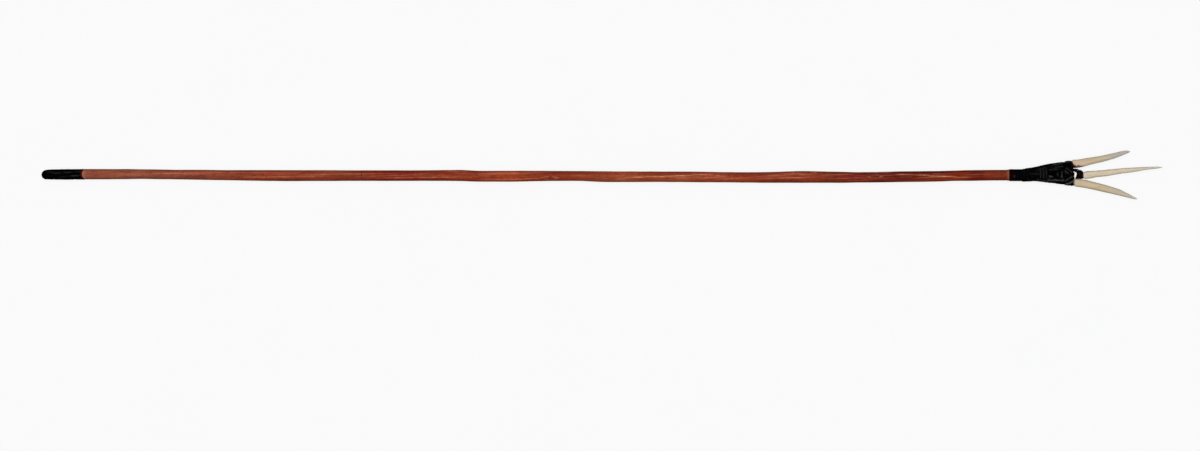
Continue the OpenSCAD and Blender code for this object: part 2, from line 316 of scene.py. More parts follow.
class Tree:
    """A short way to write a node material."""

    def __init__(self, name):
        self.mat = bpy.data.materials.new(name)
        self.mat.use_nodes = True
        self.nt = self.mat.node_tree
        self.nt.nodes.clear()
        self.out = self.nt.nodes.new("ShaderNodeOutputMaterial")
        self.bsdf = self.nt.nodes.new("ShaderNodeBsdfPrincipled")
        self.nt.links.new(self.bsdf.outputs[0], self.out.inputs["Surface"])

    def put(self, socket, value):
        if isinstance(value, bpy.types.NodeSocket):
            self.nt.links.new(value, socket)
        elif value is not None:
            socket.default_value = value

    def node(self, kind, inputs=(), **props):
        n = self.nt.nodes.new(kind)
        for k, v in props.items():
            setattr(n, k, v)
        for k, v in dict(inputs).items():
            self.put(n.inputs[k], v)
        return n

    def attr(self, name, output="Fac"):
        return self.node("ShaderNodeAttribute", attribute_name=name).outputs[output]

    def uv(self, name="Strand"):
        return self.node("ShaderNodeUVMap", uv_map=name).outputs["UV"]

    def place(self):
        return self.node("ShaderNodeTexCoord").outputs["Object"]

    def stretch(self, vector, x, y, z):
        return self.node("ShaderNodeMapping", {"Vector": vector, "Scale": (x, y, z)}).outputs[0]

    def noise(self, vector, scale, detail=3.0, rough=0.5, distortion=0.0):
        return self.node("ShaderNodeTexNoise", {"Vector": vector, "Scale": scale, "Detail": detail,
                                                "Roughness": rough, "Distortion": distortion}).outputs[0]

    def span(self, value, a, b, low=0.0, high=1.0, smooth=True):
        return self.node("ShaderNodeMapRange", {"Value": value, "From Min": a, "From Max": b,
                                                "To Min": low, "To Max": high},
                         interpolation_type="SMOOTHSTEP" if smooth else "LINEAR").outputs[0]

    def math(self, op, a, b=0.5, clamp=False):
        n = self.node("ShaderNodeMath", operation=op, use_clamp=clamp)
        self.put(n.inputs[0], a)
        self.put(n.inputs[1], b)
        return n.outputs[0]

    def mix(self, fac, a, b, blend="MIX"):
        n = self.node("ShaderNodeMix", data_type="RGBA", blend_type=blend, clamp_factor=True)
        self.put(n.inputs[0], fac)
        self.put(n.inputs[6], a if isinstance(a, bpy.types.NodeSocket) else tuple(a) + (1.0,))
        self.put(n.inputs[7], b if isinstance(b, bpy.types.NodeSocket) else tuple(b) + (1.0,))
        return n.outputs[2]

    def bump(self, height, strength, distance, normal=None):
        n = self.node("ShaderNodeBump", {"Height": height, "Strength": strength, "Distance": distance})
        if normal is not None:
            self.put(n.inputs["Normal"], normal)
        return n.outputs[0]

    def finish(self, color, roughness, normal, specular=0.5, **more):
        b = self.bsdf.inputs
        self.put(b["Base Color"], color)
        self.put(b["Roughness"], roughness)
        self.put(b["Normal"], normal)
        b["Specular IOR Level"].default_value = specular
        for k, v in more.items():
            b[k.replace("_", " ")].default_value = v
        return self.mat


def ochred_wood():
    """A peeled stick rubbed with red earth: fibres along it, rubbed ridges paler, grooves darker."""
    m = Tree("ochred_wood")
    g = m.attr("grain", "Vector")
    fibre = m.noise(m.stretch(g, 0.028, 1, 1), 850, 5, 0.62, 0.15)
    strip = m.noise(m.stretch(g, 0.040, 1, 1), 380, 3, 0.55, 0.25)
    fine = m.noise(m.stretch(g, 0.07, 1, 1), 2600, 3, 0.6)
    blotch = m.noise(m.stretch(g, 0.40, 1, 1), 75, 4, 0.55, 0.3)
    patch = m.noise(m.stretch(g, 0.12, 1, 1), 130, 3, 0.5, 0.4)
    across = m.noise(m.stretch(g, 1.0, 0.10, 0.10), 700, 2, 0.5)
    speck = m.noise(g, 2300, 2, 0.6)
    short = m.noise(m.stretch(g, 0.30, 1, 1), 620, 3, 0.6, 0.2)
    hue = m.noise(m.stretch(g, 0.22, 1, 1), 240, 3, 0.5, 0.3)
    dab = m.noise(m.stretch(g, 0.62, 1, 1), 430, 3, 0.6, 0.2)
    x = m.node("ShaderNodeSeparateXYZ", {0: m.place()}).outputs[0]
    # along the stick: a drier, pinker rear, an orange middle and a darker front
    rear = m.span(x, -0.40, -0.56)
    middle = m.math("MULTIPLY", m.span(x, -0.03, 0.05), m.span(x, 0.19, 0.13))
    front = m.span(x, 0.25, 0.31)
    base = m.mix(rear, (0.268, 0.0430, 0.0160), (0.290, 0.082, 0.046))
    base = m.mix(middle, base, (0.330, 0.064, 0.022))
    base = m.mix(front, base, (0.160, 0.0165, 0.0062))
    base = m.mix(m.math("MULTIPLY", m.span(hue, 0.56, 0.74), 0.60), base, (1.06, 0.66, 0.84), "MULTIPLY")
    base = m.mix(m.math("MULTIPLY", m.span(hue, 0.46, 0.28), 0.60), base, (0.96, 1.34, 0.82), "MULTIPLY")
    base = m.mix(m.span(blotch, 0.34, 0.68), base, (0.76, 0.64, 0.60), "MULTIPLY")
    base = m.mix(m.math("MULTIPLY", m.span(short, 0.42, 0.26), 0.50), base, (0.58, 0.50, 0.48), "MULTIPLY")
    base = m.mix(m.span(dab, 0.47, 0.30), base, (0.66, 0.56, 0.52), "MULTIPLY")
    base = m.mix(m.span(dab, 0.54, 0.72), base, (1.30, 1.28, 1.22), "MULTIPLY")
    base = m.mix(m.math("MULTIPLY", m.span(short, 0.58, 0.76), 0.22), base, (0.46, 0.105, 0.045))
    base = m.mix(m.math("MULTIPLY", m.span(patch, 0.52, 0.72), 0.55), base, (0.37, 0.080, 0.028))
    base = m.mix(m.math("MULTIPLY", m.span(strip, 0.47, 0.30), 0.60), base, (0.120, 0.022, 0.0095))
    base = m.mix(m.math("MULTIPLY", m.span(strip, 0.56, 0.72), 0.45), base, (0.42, 0.098, 0.036))
    base = m.mix(m.math("MULTIPLY", m.span(fibre, 0.50, 0.30), 0.55), base, (0.095, 0.019, 0.009))
    base = m.mix(m.math("MULTIPLY", m.span(fibre, 0.55, 0.74), 0.50), base, (0.47, 0.125, 0.050))
    base = m.mix(m.math("MULTIPLY", m.span(fine, 0.50, 0.28), 0.30), base, (0.11, 0.022, 0.011))
    base = m.mix(m.math("MULTIPLY", m.span(across, 0.60, 0.76), 0.16), base, (0.09, 0.024, 0.013))
    base = m.mix(m.math("MULTIPLY", m.span(x, -0.31, -0.27), m.span(x, -0.20, -0.23)), base, (0.84, 0.56, 0.46), "MULTIPLY")
    base = m.mix(m.math("MULTIPLY", m.span(x, -0.16, -0.12), m.span(x, -0.05, -0.09)), base, (1.26, 1.10, 1.0), "MULTIPLY")
    base = m.mix(m.math("MULTIPLY", m.span(x, 0.30, 0.34), m.span(x, 0.47, 0.45)), base, (0.82, 0.58, 0.48), "MULTIPLY")
    # the earth was rubbed on by hand, so its tone drifts from one stretch to the next
    for a, b, tone in ((-0.605, -0.565, (1.06, 1.12, 1.18)), (-0.275, -0.215, (0.96, 0.80, 0.74)),
                       (-0.200, -0.150, (1.08, 0.86, 0.72)), (-0.120, -0.090, (1.05, 1.12, 0.96)),
                       (-0.070, -0.035, (0.95, 0.80, 0.76)), (0.000, 0.040, (1.12, 1.12, 1.20)),
                       (0.110, 0.265, (0.96, 0.86, 0.80)), (0.290, 0.318, (1.14, 0.94, 0.96)),
                       (0.330, 0.405, (0.92, 0.76, 0.64)), (0.425, 0.455, (1.10, 0.93, 0.70)),
                       (0.468, 0.500, (1.16, 1.32, 1.00))):
        base = m.mix(m.math("MULTIPLY", m.span(x, a - 0.010, a), m.span(x, b + 0.010, b)), base, tone, "MULTIPLY")
    wear = m.attr("wear")
    wear = m.math("MULTIPLY", wear, m.span(fine, 0.25, 0.55, 0.62, 1.0))
    base = m.mix(wear, base, (0.86, 0.340, 0.190))
    base = m.mix(m.attr("dark"), base, (0.050, 0.012, 0.007))
    base = m.mix(m.attr("pale"), base, (0.36, 0.200, 0.130))
    base = m.mix(m.math("MULTIPLY", m.span(speck, 0.66, 0.74), 0.45), base, (0.06, 0.016, 0.009))
    base = m.mix(m.attr("pitched"), base, (0.0030, 0.0012, 0.0010))
    rough = m.span(fibre, 0.25, 0.75, 0.60, 0.44)
    n = m.bump(fibre, 0.55, 0.00016)
    n = m.bump(fine, 0.35, 0.00006, n)
    return m.finish(base, rough, n, 0.22)


def pitch_coat():
    """Black pitch dipped over wood: soft gloss, faint lumps, red-brown where it runs out thin."""
    m = Tree("pitch_coat")
    p = m.place()
    lump = m.noise(m.stretch(p, 0.35, 1, 1), 330, 3, 0.55, 0.2)
    fine = m.noise(m.stretch(p, 0.5, 1, 1), 2400, 3, 0.6)
    dust = m.noise(p, 1300, 4, 0.65)
    base = m.mix(m.span(lump, 0.35, 0.70), (0.0002, 0.0002, 0.0002), (0.0007, 0.0006, 0.0006))
    base = m.mix(m.math("MULTIPLY", m.span(dust, 0.62, 0.80), 0.10), base, (0.010, 0.009, 0.0085))
    # painted sheen: a lighter tone on the pitch between the head's cords, mostly following the painted highlights
    base = m.mix(m.attr("grey"), base, (0.0088, 0.0083, 0.0083))
    # painted highlight: lighter streaks along the top of the butt coat, with lighter dry patches underneath
    base = m.mix(m.attr("dry"), base, (0.021, 0.0198, 0.0198))
    thin = m.attr("thin")
    base = m.mix(m.math("MULTIPLY", thin, m.span(lump, 0.2, 0.6, 0.75, 1.0)), base, (0.034, 0.0026, 0.0010))
    rough = m.span(lump, 0.30, 0.70, 0.24, 0.44)
    n = m.bump(lump, 0.45, 0.00045)
    n = m.bump(fine, 0.25, 0.00005, n)
    return m.finish(base, rough, n, 0.06)


def pitched_cord(name="pitched_cord", black=(0.0004, 0.0003, 0.0004), bare=(0.026, 0.0024, 0.0013),
                 rough=(0.34, 0.58), twist=0.0024, height=0.00022, specular=0.07):
    """Two-strand cord soaked in pitch: the lay of the cord shows in relief under an uneven coat."""
    m = Tree(name)
    uv = m.uv()
    sep = m.node("ShaderNodeSeparateXYZ", {0: uv})
    s, t = sep.outputs[0], sep.outputs[1]
    along = m.node("ShaderNodeMapping", {"Vector": uv, "Rotation": (0, 0, math.radians(-38)), "Scale": (0.8, 3.6, 1)})
    fibres = m.noise(along.outputs[0], 2100, 4, 0.6, 0.4)
    p = m.place()
    coat = m.noise(p, 420, 4, 0.6, 0.3)
    dust = m.noise(p, 1500, 3, 0.6)
    # the lay: slanting ridges across the cord
    lay = m.math("ADD", m.math("MULTIPLY", s, TAU / twist), m.math("MULTIPLY", t, TAU / 0.0021))
    lay = m.math("SINE", lay)
    lay = m.math("MULTIPLY", lay, m.span(coat, 0.40, 0.62, 1.0, 0.25))
    base = m.mix(m.span(coat, 0.35, 0.68), tuple(1.7 * c for c in black), black)
    base = m.mix(m.math("MULTIPLY", m.span(dust, 0.62, 0.80), 0.4), base, (0.0050, 0.0047, 0.0045))
    thin = m.attr("thin")
    base = m.mix(m.math("MULTIPLY", thin, m.span(fibres, 0.30, 0.62, 0.45, 1.0)), base, bare)
    # painted highlight: a light colour on the cords' crests where light catches them
    base = m.mix(m.math("MULTIPLY", m.attr("rub"), m.span(fibres, 0.30, 0.62, 0.35, 1.0)), base, (0.108, 0.102, 0.102))
    r = m.span(coat, 0.32, 0.68, rough[1], rough[0])
    n = m.bump(lay, 0.60, height * 0.35)
    n = m.bump(fibres, 0.45, 0.00008, n)
    n = m.bump(coat, 0.35, 0.00030, n)
    return m.finish(base, r, n, specular)


def bone():
    """Bone splinters scraped to shape: long fine grain, small pores, greyer towards the points."""
    m = Tree("bone")
    uv = m.uv()
    p = m.place()
    grain = m.noise(m.stretch(p, 0.05, 1, 1), 1300, 5, 0.62, 0.25)
    broad = m.noise(m.stretch(p, 0.18, 1, 1), 210, 4, 0.55, 0.3)
    fine = m.noise(m.stretch(p, 0.10, 1, 1), 4200, 3, 0.6)
    pores = m.noise(m.stretch(p, 0.12, 1, 1), 2600, 2, 0.5)
    base = m.mix(m.span(broad, 0.30, 0.72), (0.490, 0.388, 0.248), (0.560, 0.448, 0.296))
    base = m.mix(m.attr("light"), base, (0.640, 0.545, 0.410))
    base = m.mix(m.math("MULTIPLY", m.span(grain, 0.50, 0.28), 0.55), base, (0.43, 0.315, 0.180))
    base = m.mix(m.math("MULTIPLY", m.span(grain, 0.56, 0.76), 0.55), base, (0.655, 0.570, 0.440))
    base = m.mix(m.math("MULTIPLY", m.attr("tip"), 0.80), base, (0.470, 0.448, 0.405))
    base = m.mix(m.attr("dull"), base, (0.355, 0.335, 0.300))
    base = m.mix(m.attr("bleached"), base, (0.560, 0.510, 0.435))
    base = m.mix(m.math("MULTIPLY", m.attr("pink"), 0.65), base, (0.565, 0.41, 0.305))
    base = m.mix(m.math("MULTIPLY", m.span(pores, 0.66, 0.73), 0.60), base, (0.22, 0.15, 0.085))
    base = m.mix(m.math("MULTIPLY", m.attr("groove"), 0.60), base, (0.30, 0.205, 0.110))
    stain = m.math("MULTIPLY", m.attr("stain"), m.span(broad, 0.2, 0.6, 0.55, 1.0))
    base = m.mix(stain, base, (0.034, 0.011, 0.007))
    base = m.mix(m.attr("soot"), base, (0.070, 0.047, 0.036))
    base = m.mix(m.attr("pitched"), base, (0.0030, 0.0022, 0.0020))
    rough = m.span(grain, 0.25, 0.75, 0.60, 0.46)
    n = m.bump(grain, 0.45, 0.00012)
    n = m.bump(fine, 0.30, 0.00004, n)
    return m.finish(base, rough, n, 0.40, Subsurface_Weight=0.0)


def plain_wood(name="plain_wood"):
    m = Tree(name)
    p = m.place()
    grain = m.noise(m.stretch(p, 0.05, 1, 1), 1400, 4, 0.6, 0.3)
    broad = m.noise(m.stretch(p, 0.3, 1, 1), 160, 3)
    base = m.mix(m.span(grain, 0.3, 0.7), (0.27, 0.16, 0.075), (0.50, 0.34, 0.18))
    base = m.mix(m.math("MULTIPLY", m.span(broad, 0.4, 0.7), 0.4), base, (0.20, 0.11, 0.055))
    return m.finish(base, m.span(grain, 0.3, 0.7, 0.75, 0.60), m.bump(grain, 0.5, 0.0002), 0.3)


def inner_cord():
    """Dry brown twine of the seizings inside the head."""
    m = Tree("inner_cord")
    p = m.place()
    turns = m.noise(m.stretch(p, 6.0, 0.4, 0.4), 160, 2)
    fibre = m.noise(m.stretch(p, 1.0, 0.2, 0.2), 2400, 4, 0.6)
    base = m.mix(m.span(turns, 0.35, 0.65), (0.030, 0.018, 0.010), (0.13, 0.080, 0.042))
    base = m.mix(m.math("MULTIPLY", m.span(fibre, 0.5, 0.75), 0.5), base, (0.22, 0.15, 0.085))
    n = m.bump(turns, 0.8, 0.0004)
    return m.finish(base, m.span(fibre, 0.3, 0.7, 0.9, 0.75), m.bump(fibre, 0.4, 0.0001, n), 0.2)


M_WOOD = ochred_wood()
M_PITCH = pitch_coat()
M_CORD = pitched_cord()
M_TWINE = pitched_cord("pitched_twine", black=(0.0006, 0.0010, 0.0021), bare=(0.0078, 0.0002, 0.0001),
                       rough=(0.40, 0.62), twist=0.0011, height=0.00012, specular=0.06)
M_BONE = bone()
M_PLAIN = plain_wood()
M_INNER = inner_cord()

for node, mat in (("spreader_wedge", M_PLAIN), ("tail_seizing", M_INNER), ("front_seizing", M_INNER),
                  ("pitch_fill", M_PITCH)):
    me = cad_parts[node].data
    me.materials.clear()
    me.materials.append(mat)


# ------------------------------------------------------------------ the stick

# [x, upper edge, lower edge] of the stick as it lies
EDGES = [
    [-640, 7.3, -5.2], [-628, 7.3, -5.2], [-612, 7.3, -5.2], [-598, 7.25, -5.15], [-585, 7.25, -5.0],
    [-574, 7.3, -4.9], [-557, 7.0, -4.7], [-540, 6.8, -5.0], [-523, 6.5, -5.1], [-506, 6.4, -5.4],
    [-489, 6.4, -5.7], [-455, 6.0, -6.2], [-421, 5.9, -6.9], [-388, 5.9, -7.2], [-330, 5.8, -7.2],
    [-269, 5.7, -7.1], [-218, 5.7, -7.1], [-201, 5.9, -7.1], [-184, 6.0, -7.2], [-167, 6.0, -7.4],
    [-159, 5.6, -7.7], [-150, 5.2, -7.9], [-133, 5.2, -7.95], [-100, 5.2, -7.85], [-83, 5.2, -7.5],
    [-66, 5.1, -7.3], [-49, 5.0, -7.2], [-32, 4.9, -7.1], [-24, 4.9, -7.2], [-15, 4.8, -7.6],
    [2, 4.7, -8.3], [36, 4.4, -8.4], [70, 4.3, -8.4], [104, 4.15, -8.6], [138, 3.65, -8.85],
    [172, 3.4, -9.15], [188, 3.4, -9.3], [205, 3.7, -9.3], [222, 4.3, -9.3], [239, 4.7, -9.4],
    [256, 4.6, -9.4], [273, 4.2, -9.4], [290, 3.9, -9.4], [307, 3.4, -9.1], [324, 3.6, -9.0],
    [358, 4.4, -8.5], [392, 4.75, -8.2], [409, 4.9, -7.8], [426, 5.4, -7.1], [443, 5.95, -7.05],
    [459, 6.15, -6.75], [476, 6.3, -6.5], [492, 6.25, -6.45], [516, 6.05, -6.45]]
# Long rubbed ridges: [from x, to x, angle there, angle here, width, height, how pale]
# The angle is from the top, positive towards +Y.
RIDGES = [
    [-3, 12, -30, -24, 1.0, 0.10, 0.50], [14, 34, -20, -11, 0.9, 0.12, 0.55], [30, 52, -10, -5, 1.0, 0.15, 0.85],
    [51, 66, 2, 4, 0.9, 0.15, 0.95], [62, 77, 0, 3, 1.0, 0.17, 1.0], [74, 88, 6, 10, 0.8, 0.12, 0.70],
    [80, 113, 12, 18, 1.0, 0.17, 1.0], [89, 106, -12, -8, 0.9, 0.12, 0.60], [104, 121, 0, 3, 0.9, 0.12, 0.55],
    [108, 134, 25, 32, 1.0, 0.15, 0.95], [128, 152, 20, 12, 0.9, 0.12, 0.60], [136, 168, -26, -12, 0.9, 0.10, 0.45],
    [8, 40, -36, -30, 0.9, 0.10, 0.40], [118, 150, -8, 4, 0.9, 0.10, 0.50],
    [318, 352, 64, 55, 1.2, 0.14, 0.80], [354, 378, 27, 22, 1.0, 0.15, 0.80], [376, 397, 18, 12, 1.0, 0.15, 0.85],
    [392, 429, 4, -8, 1.0, 0.17, 1.0], [422, 448, -14, -19, 0.9, 0.13, 0.60], [358, 376, -6, -2, 0.9, 0.10, 0.35],
    [398, 420, 30, 24, 0.9, 0.10, 0.35], [440, 474, 8, 14, 0.9, 0.10, 0.30], [262, 318, 20, 44, 0.9, 0.10, 0.35],
    [-440, -330, -22, -8, 1.0, 0.10, 0.45], [-360, -250, 10, 26, 1.0, 0.10, 0.45],
    [-300, -150, -30, -12, 1.0, 0.11, 0.50], [-180, -60, 22, 40, 1.0, 0.12, 0.50],
    [-150, -70, -40, -26, 1.0, 0.12, 0.50], [-560, -470, 6, 16, 1.0, 0.09, 0.35],
    [-480, -400, 32, 40, 0.9, 0.09, 0.35], [190, 262, -12, 2, 1.0, 0.10, 0.50],
    [196, 236, 18, 30, 0.9, 0.10, 0.50], [212, 248, 40, 50, 0.9, 0.10, 0.45]]
# Narrow rings cut or worn round the stick: [x, depth, width, darkness]
RINGS = [[-291, 0.18, 0.9, 0.95], [153.6, 0.14, 0.6, 0.75], [160.4, 0.14, 0.6, 0.60],
         [-520, 0.05, 0.6, 0.18], [-548, 0.05, 0.5, 0.15], [-497, 0.05, 0.5, 0.14],
         [262, 0.05, 0.5, 0.15], [-60, 0.05, 0.5, 0.15]]
# Knots: [x, angle, length, width in degrees, height]
KNOTS = [[-176, 74, 15, 26, 0.30], [-8, -96, 12, 30, 0.14], [243, 60, 15, 34, 0.32],
         [-330, 168, 10, 22, 0.35], [96, 152, 12, 24, 0.35], [382, -140, 11, 24, 0.35],
         [-470, -128, 9, 20, 0.30], [-64, -24, 9, 20, 0.16], [330, 8, 8, 18, 0.14]]


def stick_z(x):
    t = np.clip((x + 599) / 1090, 0, 1)
    return 6.2 + (HEAD_Z - 6.2) * (1 - (1 - t) ** 2)


def coat_edge(phi):
    """x of the butt coat's front edge. phi is the angle from the top towards +Y."""
    deg = (np.degrees(phi) + 180) % 360 - 180
    rows = [[-180, 0.0], [-125, 0.7], [-90, 1.7], [-60, 1.0], [-32, -0.7], [-4, -1.8], [28, -1.2], [60, 0.2],
            [90, 0.8], [130, 0.2], [180, 0.0]]
    return -628 + table(rows, deg)[:, 0] + 0.22 * noise2(0.7, phi * 13 / TAU, 22, 13)


def make_shaft():
    n = 64
    xs = list(np.arange(-630.4, 516.01, 1.5))
    for r in RINGS:
        xs += list(np.arange(r[0] - 1.6, r[0] + 1.61, 0.32))
    xs = np.unique(np.round(np.array(xs), 3))
    keep = np.concatenate([[True], np.diff(xs) > 0.12])
    xs = xs[keep]
    e = table(EDGES, xs)
    top, bot = e[:, 0], e[:, 1]
    cy, r0 = (top + bot) / 2, (top - bot) / 2
    # smooth centreline, so that a bulge shows on its own side only
    k = np.exp(-0.5 * (np.arange(-60, 61) / 26.0) ** 2)
    k /= k.sum()
    pad = lambda a: np.concatenate([np.full(60, a[0]), a, np.full(60, a[-1])])
    cys = np.convolve(pad(cy), k, "valid")
    free = ramp(xs, -600, -570) * (1 - ramp(xs, 476, 492))
    cys = cy * (1 - free) + cys * free
    up, down = top - cys, cys - bot
    phi = TAU * np.arange(n) / n  # from the top (+Z) towards +Y
    X = xs[:, None]
    deg = np.degrees((phi + math.pi) % TAU - math.pi)[None]
    R = r0[:, None] * np.ones((1, n))
    sn = np.sin(phi)[None]
    Yr = R + ((up - down)[:, None] / 2) * sn + ((up + down) / 2 - r0)[:, None]
    env = (0.22 + 0.78 * ramp(xs, -604, -580))[:, None] * (1 - ramp(xs, 486, 492))[:, None]
    # whittled flats that turn slowly along the stick
    turn = 0.0042 * xs + 0.5 * noise1(xs / 160.0, 5)
    flats = np.abs(np.sin(3.5 * (phi[None] + turn[:, None]) + 0.8 * noise2(X / 90, phi[None] * 5 / TAU, 6, 5)))
    disp = 0.10 * (flats - 0.64) * (1 + 0.8 * noise2(X / 70, phi[None] * 4 / TAU, 8, 4))
    disp = disp + 0.11 * noise2(X / 42, phi[None] * 6 / TAU, 11, 6) + 0.05 * noise2(X / 12, phi[None] * 12 / TAU, 12, 12)
    disp = disp + 0.020 * noise2(X / 5, phi[None] * 32 / TAU, 13, 32)
    wear = np.zeros((len(xs), n))
    dark = np.zeros((len(xs), n))

    def away(angle):
        return (deg - angle + 180) % 360 - 180

    rng = np.random.default_rng(7)
    ridges = list(RIDGES)
    for _ in range(64):
        a = rng.uniform(-590, 450)
        length = rng.uniform(30, 110)
        th = rng.uniform(-180, 180)
        ridges.append([a, min(a + length, 486), th, th + length * rng.uniform(-0.15, 0.45),
                       rng.uniform(0.7, 1.3), rng.uniform(0.05, 0.11), rng.uniform(0.10, 0.34)])
    for i, (a, b, t0, t1, w, h, pale) in enumerate(ridges):
        sel = (xs > a - 2) & (xs < b + 2)
        xx = xs[sel]
        f = np.clip((xx - a) / (b - a), 0, 1)
        stray = 0.35 if i < len(RIDGES) else 1.0
        line = t0 + (t1 - t0) * f + stray * (5 * noise1(xx / 24, 40 + i) + 1.6 * noise1(xx / 6, 140 + i))
        d = (deg - line[:, None] + 180) % 360 - 180
        mm = np.radians(d) * r0[sel][:, None]
        ends = np.clip(4 * f * (1 - f), 0, 1) ** 0.6
        beads = 0.62 + 0.38 * noise1(xx / 7.5, 240 + i)
        wid = w * (0.55 + 0.45 * ends)
        s = np.exp(-(mm / wid[:, None] * 1.5) ** 2) * (ends * beads)[:, None]
        disp[sel] += h * s
        thin = np.exp(-(mm / wid[:, None] * 1.9) ** 2) * (ends * np.clip(beads + 0.25 * noise1(xx / 2.6, 340 + i), 0, 1))[:, None]
        wear[sel] = np.maximum(wear[sel], pale * thin)
    for i in range(70):  # fine cracks and grooves along the fibres
        a = rng.uniform(-585, 460)
        length = rng.uniform(10, 60)
        b = min(a + length, 486)
        th, slope = rng.uniform(-180, 180), rng.uniform(-0.1, 0.4)
        sel = (xs > a) & (xs < b)
        if sel.sum() < 4:
            continue
        xx = xs[sel]
        f = (xx - a) / (b - a)
        line = th + slope * (xx - a) + 3 * noise1(xx / 14, 500 + i)
        d = (deg - line[:, None] + 180) % 360 - 180
        mm = np.radians(d) * r0[sel][:, None]
        s = np.exp(-(mm / 0.42) ** 2) * np.clip(4 * f * (1 - f), 0, 1)[:, None]
        disp[sel] -= rng.uniform(0.05, 0.12) * s
        dark[sel] = np.maximum(dark[sel], rng.uniform(0.15, 0.5) * s)
    for i, (kx, ka, kl, kw, kh) in enumerate(KNOTS):
        d = np.hypot((X - kx) / kl, away(ka) / kw)
        disp += kh * np.exp(-d**2 * 1.4)
        eye = np.hypot((X - kx) / (kl * 0.20), away(ka) / (kw * 0.22))
        disp -= kh * 0.75 * np.exp(-eye**2)
        if abs(ka) > 45:
            dark = np.maximum(dark, 0.65 * np.exp(-(eye * 0.95) ** 2))
            dark = np.maximum(dark, 0.32 * np.exp(-((d - 0.55) / 0.12) ** 2))
        wear = np.maximum(wear, 0.30 * np.exp(-((d - 0.95) / 0.22) ** 2) * np.clip(0.5 + noise2(X / 3, deg / 9, 60 + i), 0, 1))
    for i, (rx, depth, width, tone) in enumerate(RINGS):
        line = rx + 0.35 * noise2(0.0, phi * 6 / TAU, 90 + i, 6)[None]
        s = np.exp(-((X - line) / (width * 0.6)) ** 2)
        broken = np.clip(0.75 + 0.6 * noise2(0.3 + i, phi * 9 / TAU, 95 + i, 9), 0.15, 1)[None]
        disp -= depth * s * broken
        dark = np.maximum(dark, tone * s * broken)
        disp += 0.35 * depth * np.exp(-((X - line - width * 1.5) / (width * 0.8)) ** 2) * broken
    disp = disp * env + 0.45 * hump(X - 491.3, 1.4)  # the wood stands proud beside the whipping
    wear = wear * ramp(xs, -600, -570)[:, None] * (1 - ramp(xs, 478, 490))[:, None]
    rad = Yr + disp
    zc = stick_z(xs)
    P = np.stack([np.broadcast_to(X, rad.shape), cys[:, None] + rad * np.sin(phi)[None],
                  zc[:, None] + rad * np.cos(phi)[None]], -1)
    grain_turn = phi[None] - 0.0035 * X + 0.35 * noise1(xs / 220, 77)[:, None]
    grain = np.stack([np.broadcast_to(X, rad.shape), r0[:, None] * np.sin(grain_turn),
                      r0[:, None] * np.cos(grain_turn)], -1) * 0.001
    # bare wood beside the butt coat, widest in the middle of the top side, and at the whipping
    bare = 0.35 + 0.65 * np.exp(-(away(2) / 42) ** 2)
    pale = hump(X - coat_edge(phi)[None] - 1.4, 1.5) * 0.80 * bare + hump(X - 491.1, 1.0) * 0.50
    pale = pale * np.clip(0.8 + 0.35 * noise2(X / 2.0, phi[None] * 8 / TAU, 91, 8), 0.3, 1)

    # the turned-down end under the butt coat
    d = np.array([0.9, 1.1, 1.9, 3.2, 5.0, 7.0, 11.3, 18, 30, 42, 46.8, 47.1])
    r = np.array([0.6, 1.6, 3.0, 4.1, 4.5, 4.7, 5.0, 5.3, 5.3, 5.3, 5.3, 5.6])
    Q = np.stack([np.broadcast_to((-678 + d)[:, None], (len(d), n)),
                  0.9 + r[:, None] * np.sin(phi)[None], 6.2 + r[:, None] * np.cos(phi)[None]], -1)
    # the tongue inside the head, flat-sided
    du = np.array([-54.8, -52, -46, -38, -30, -21.4, -21.0])
    hz = np.interp(du, [-56, -50, -21], [6.0, 4.0, 4.0])
    hi = 8.2 + 0.064 * du
    hi = np.minimum(hi, 6.2 - 0.4)
    hi = np.where(du > -40, np.interp(du, [-40, -21], [5.6, 4.2]), hi)
    lo = np.full(len(du), -4.95)
    c, s = np.sin(phi), np.cos(phi)
    sq = lambda v: np.sign(v) * np.abs(v) ** 0.45
    G = np.stack([np.broadcast_to((X_MOUTH + du)[:, None], (len(du), n)),
                  HEAD_Y + ((hi + lo) / 2)[:, None] + ((hi - lo) / 2)[:, None] * sq(c)[None],
                  HEAD_Z + hz[:, None] * sq(s)[None]], -1)
    G[-1] = G[-1].mean(0) + (G[-1] - G[-1].mean(0)) * 0.9
    allP = np.concatenate([Q, P, G])
    z0, z1 = np.zeros((len(Q), n)), np.zeros((len(G), n))
    flat = lambda a: np.concatenate([z0, a, z1])
    b = Build()
    covered = ramp(X, 492.3, 493.4) * np.ones((1, n))
    b.tube(allP, wear=flat(wear), dark=flat(np.clip(dark, 0, 1)), pale=flat(np.clip(pale, 0, 1)), pitched=flat(covered),
           grain=np.concatenate([Q * 0.001, grain, G * 0.001]))
    return b.make("shaft_stick", M_WOOD, "ochred_wood", ["shaft"])


make_shaft()


# ------------------------------------------------------------------ butt

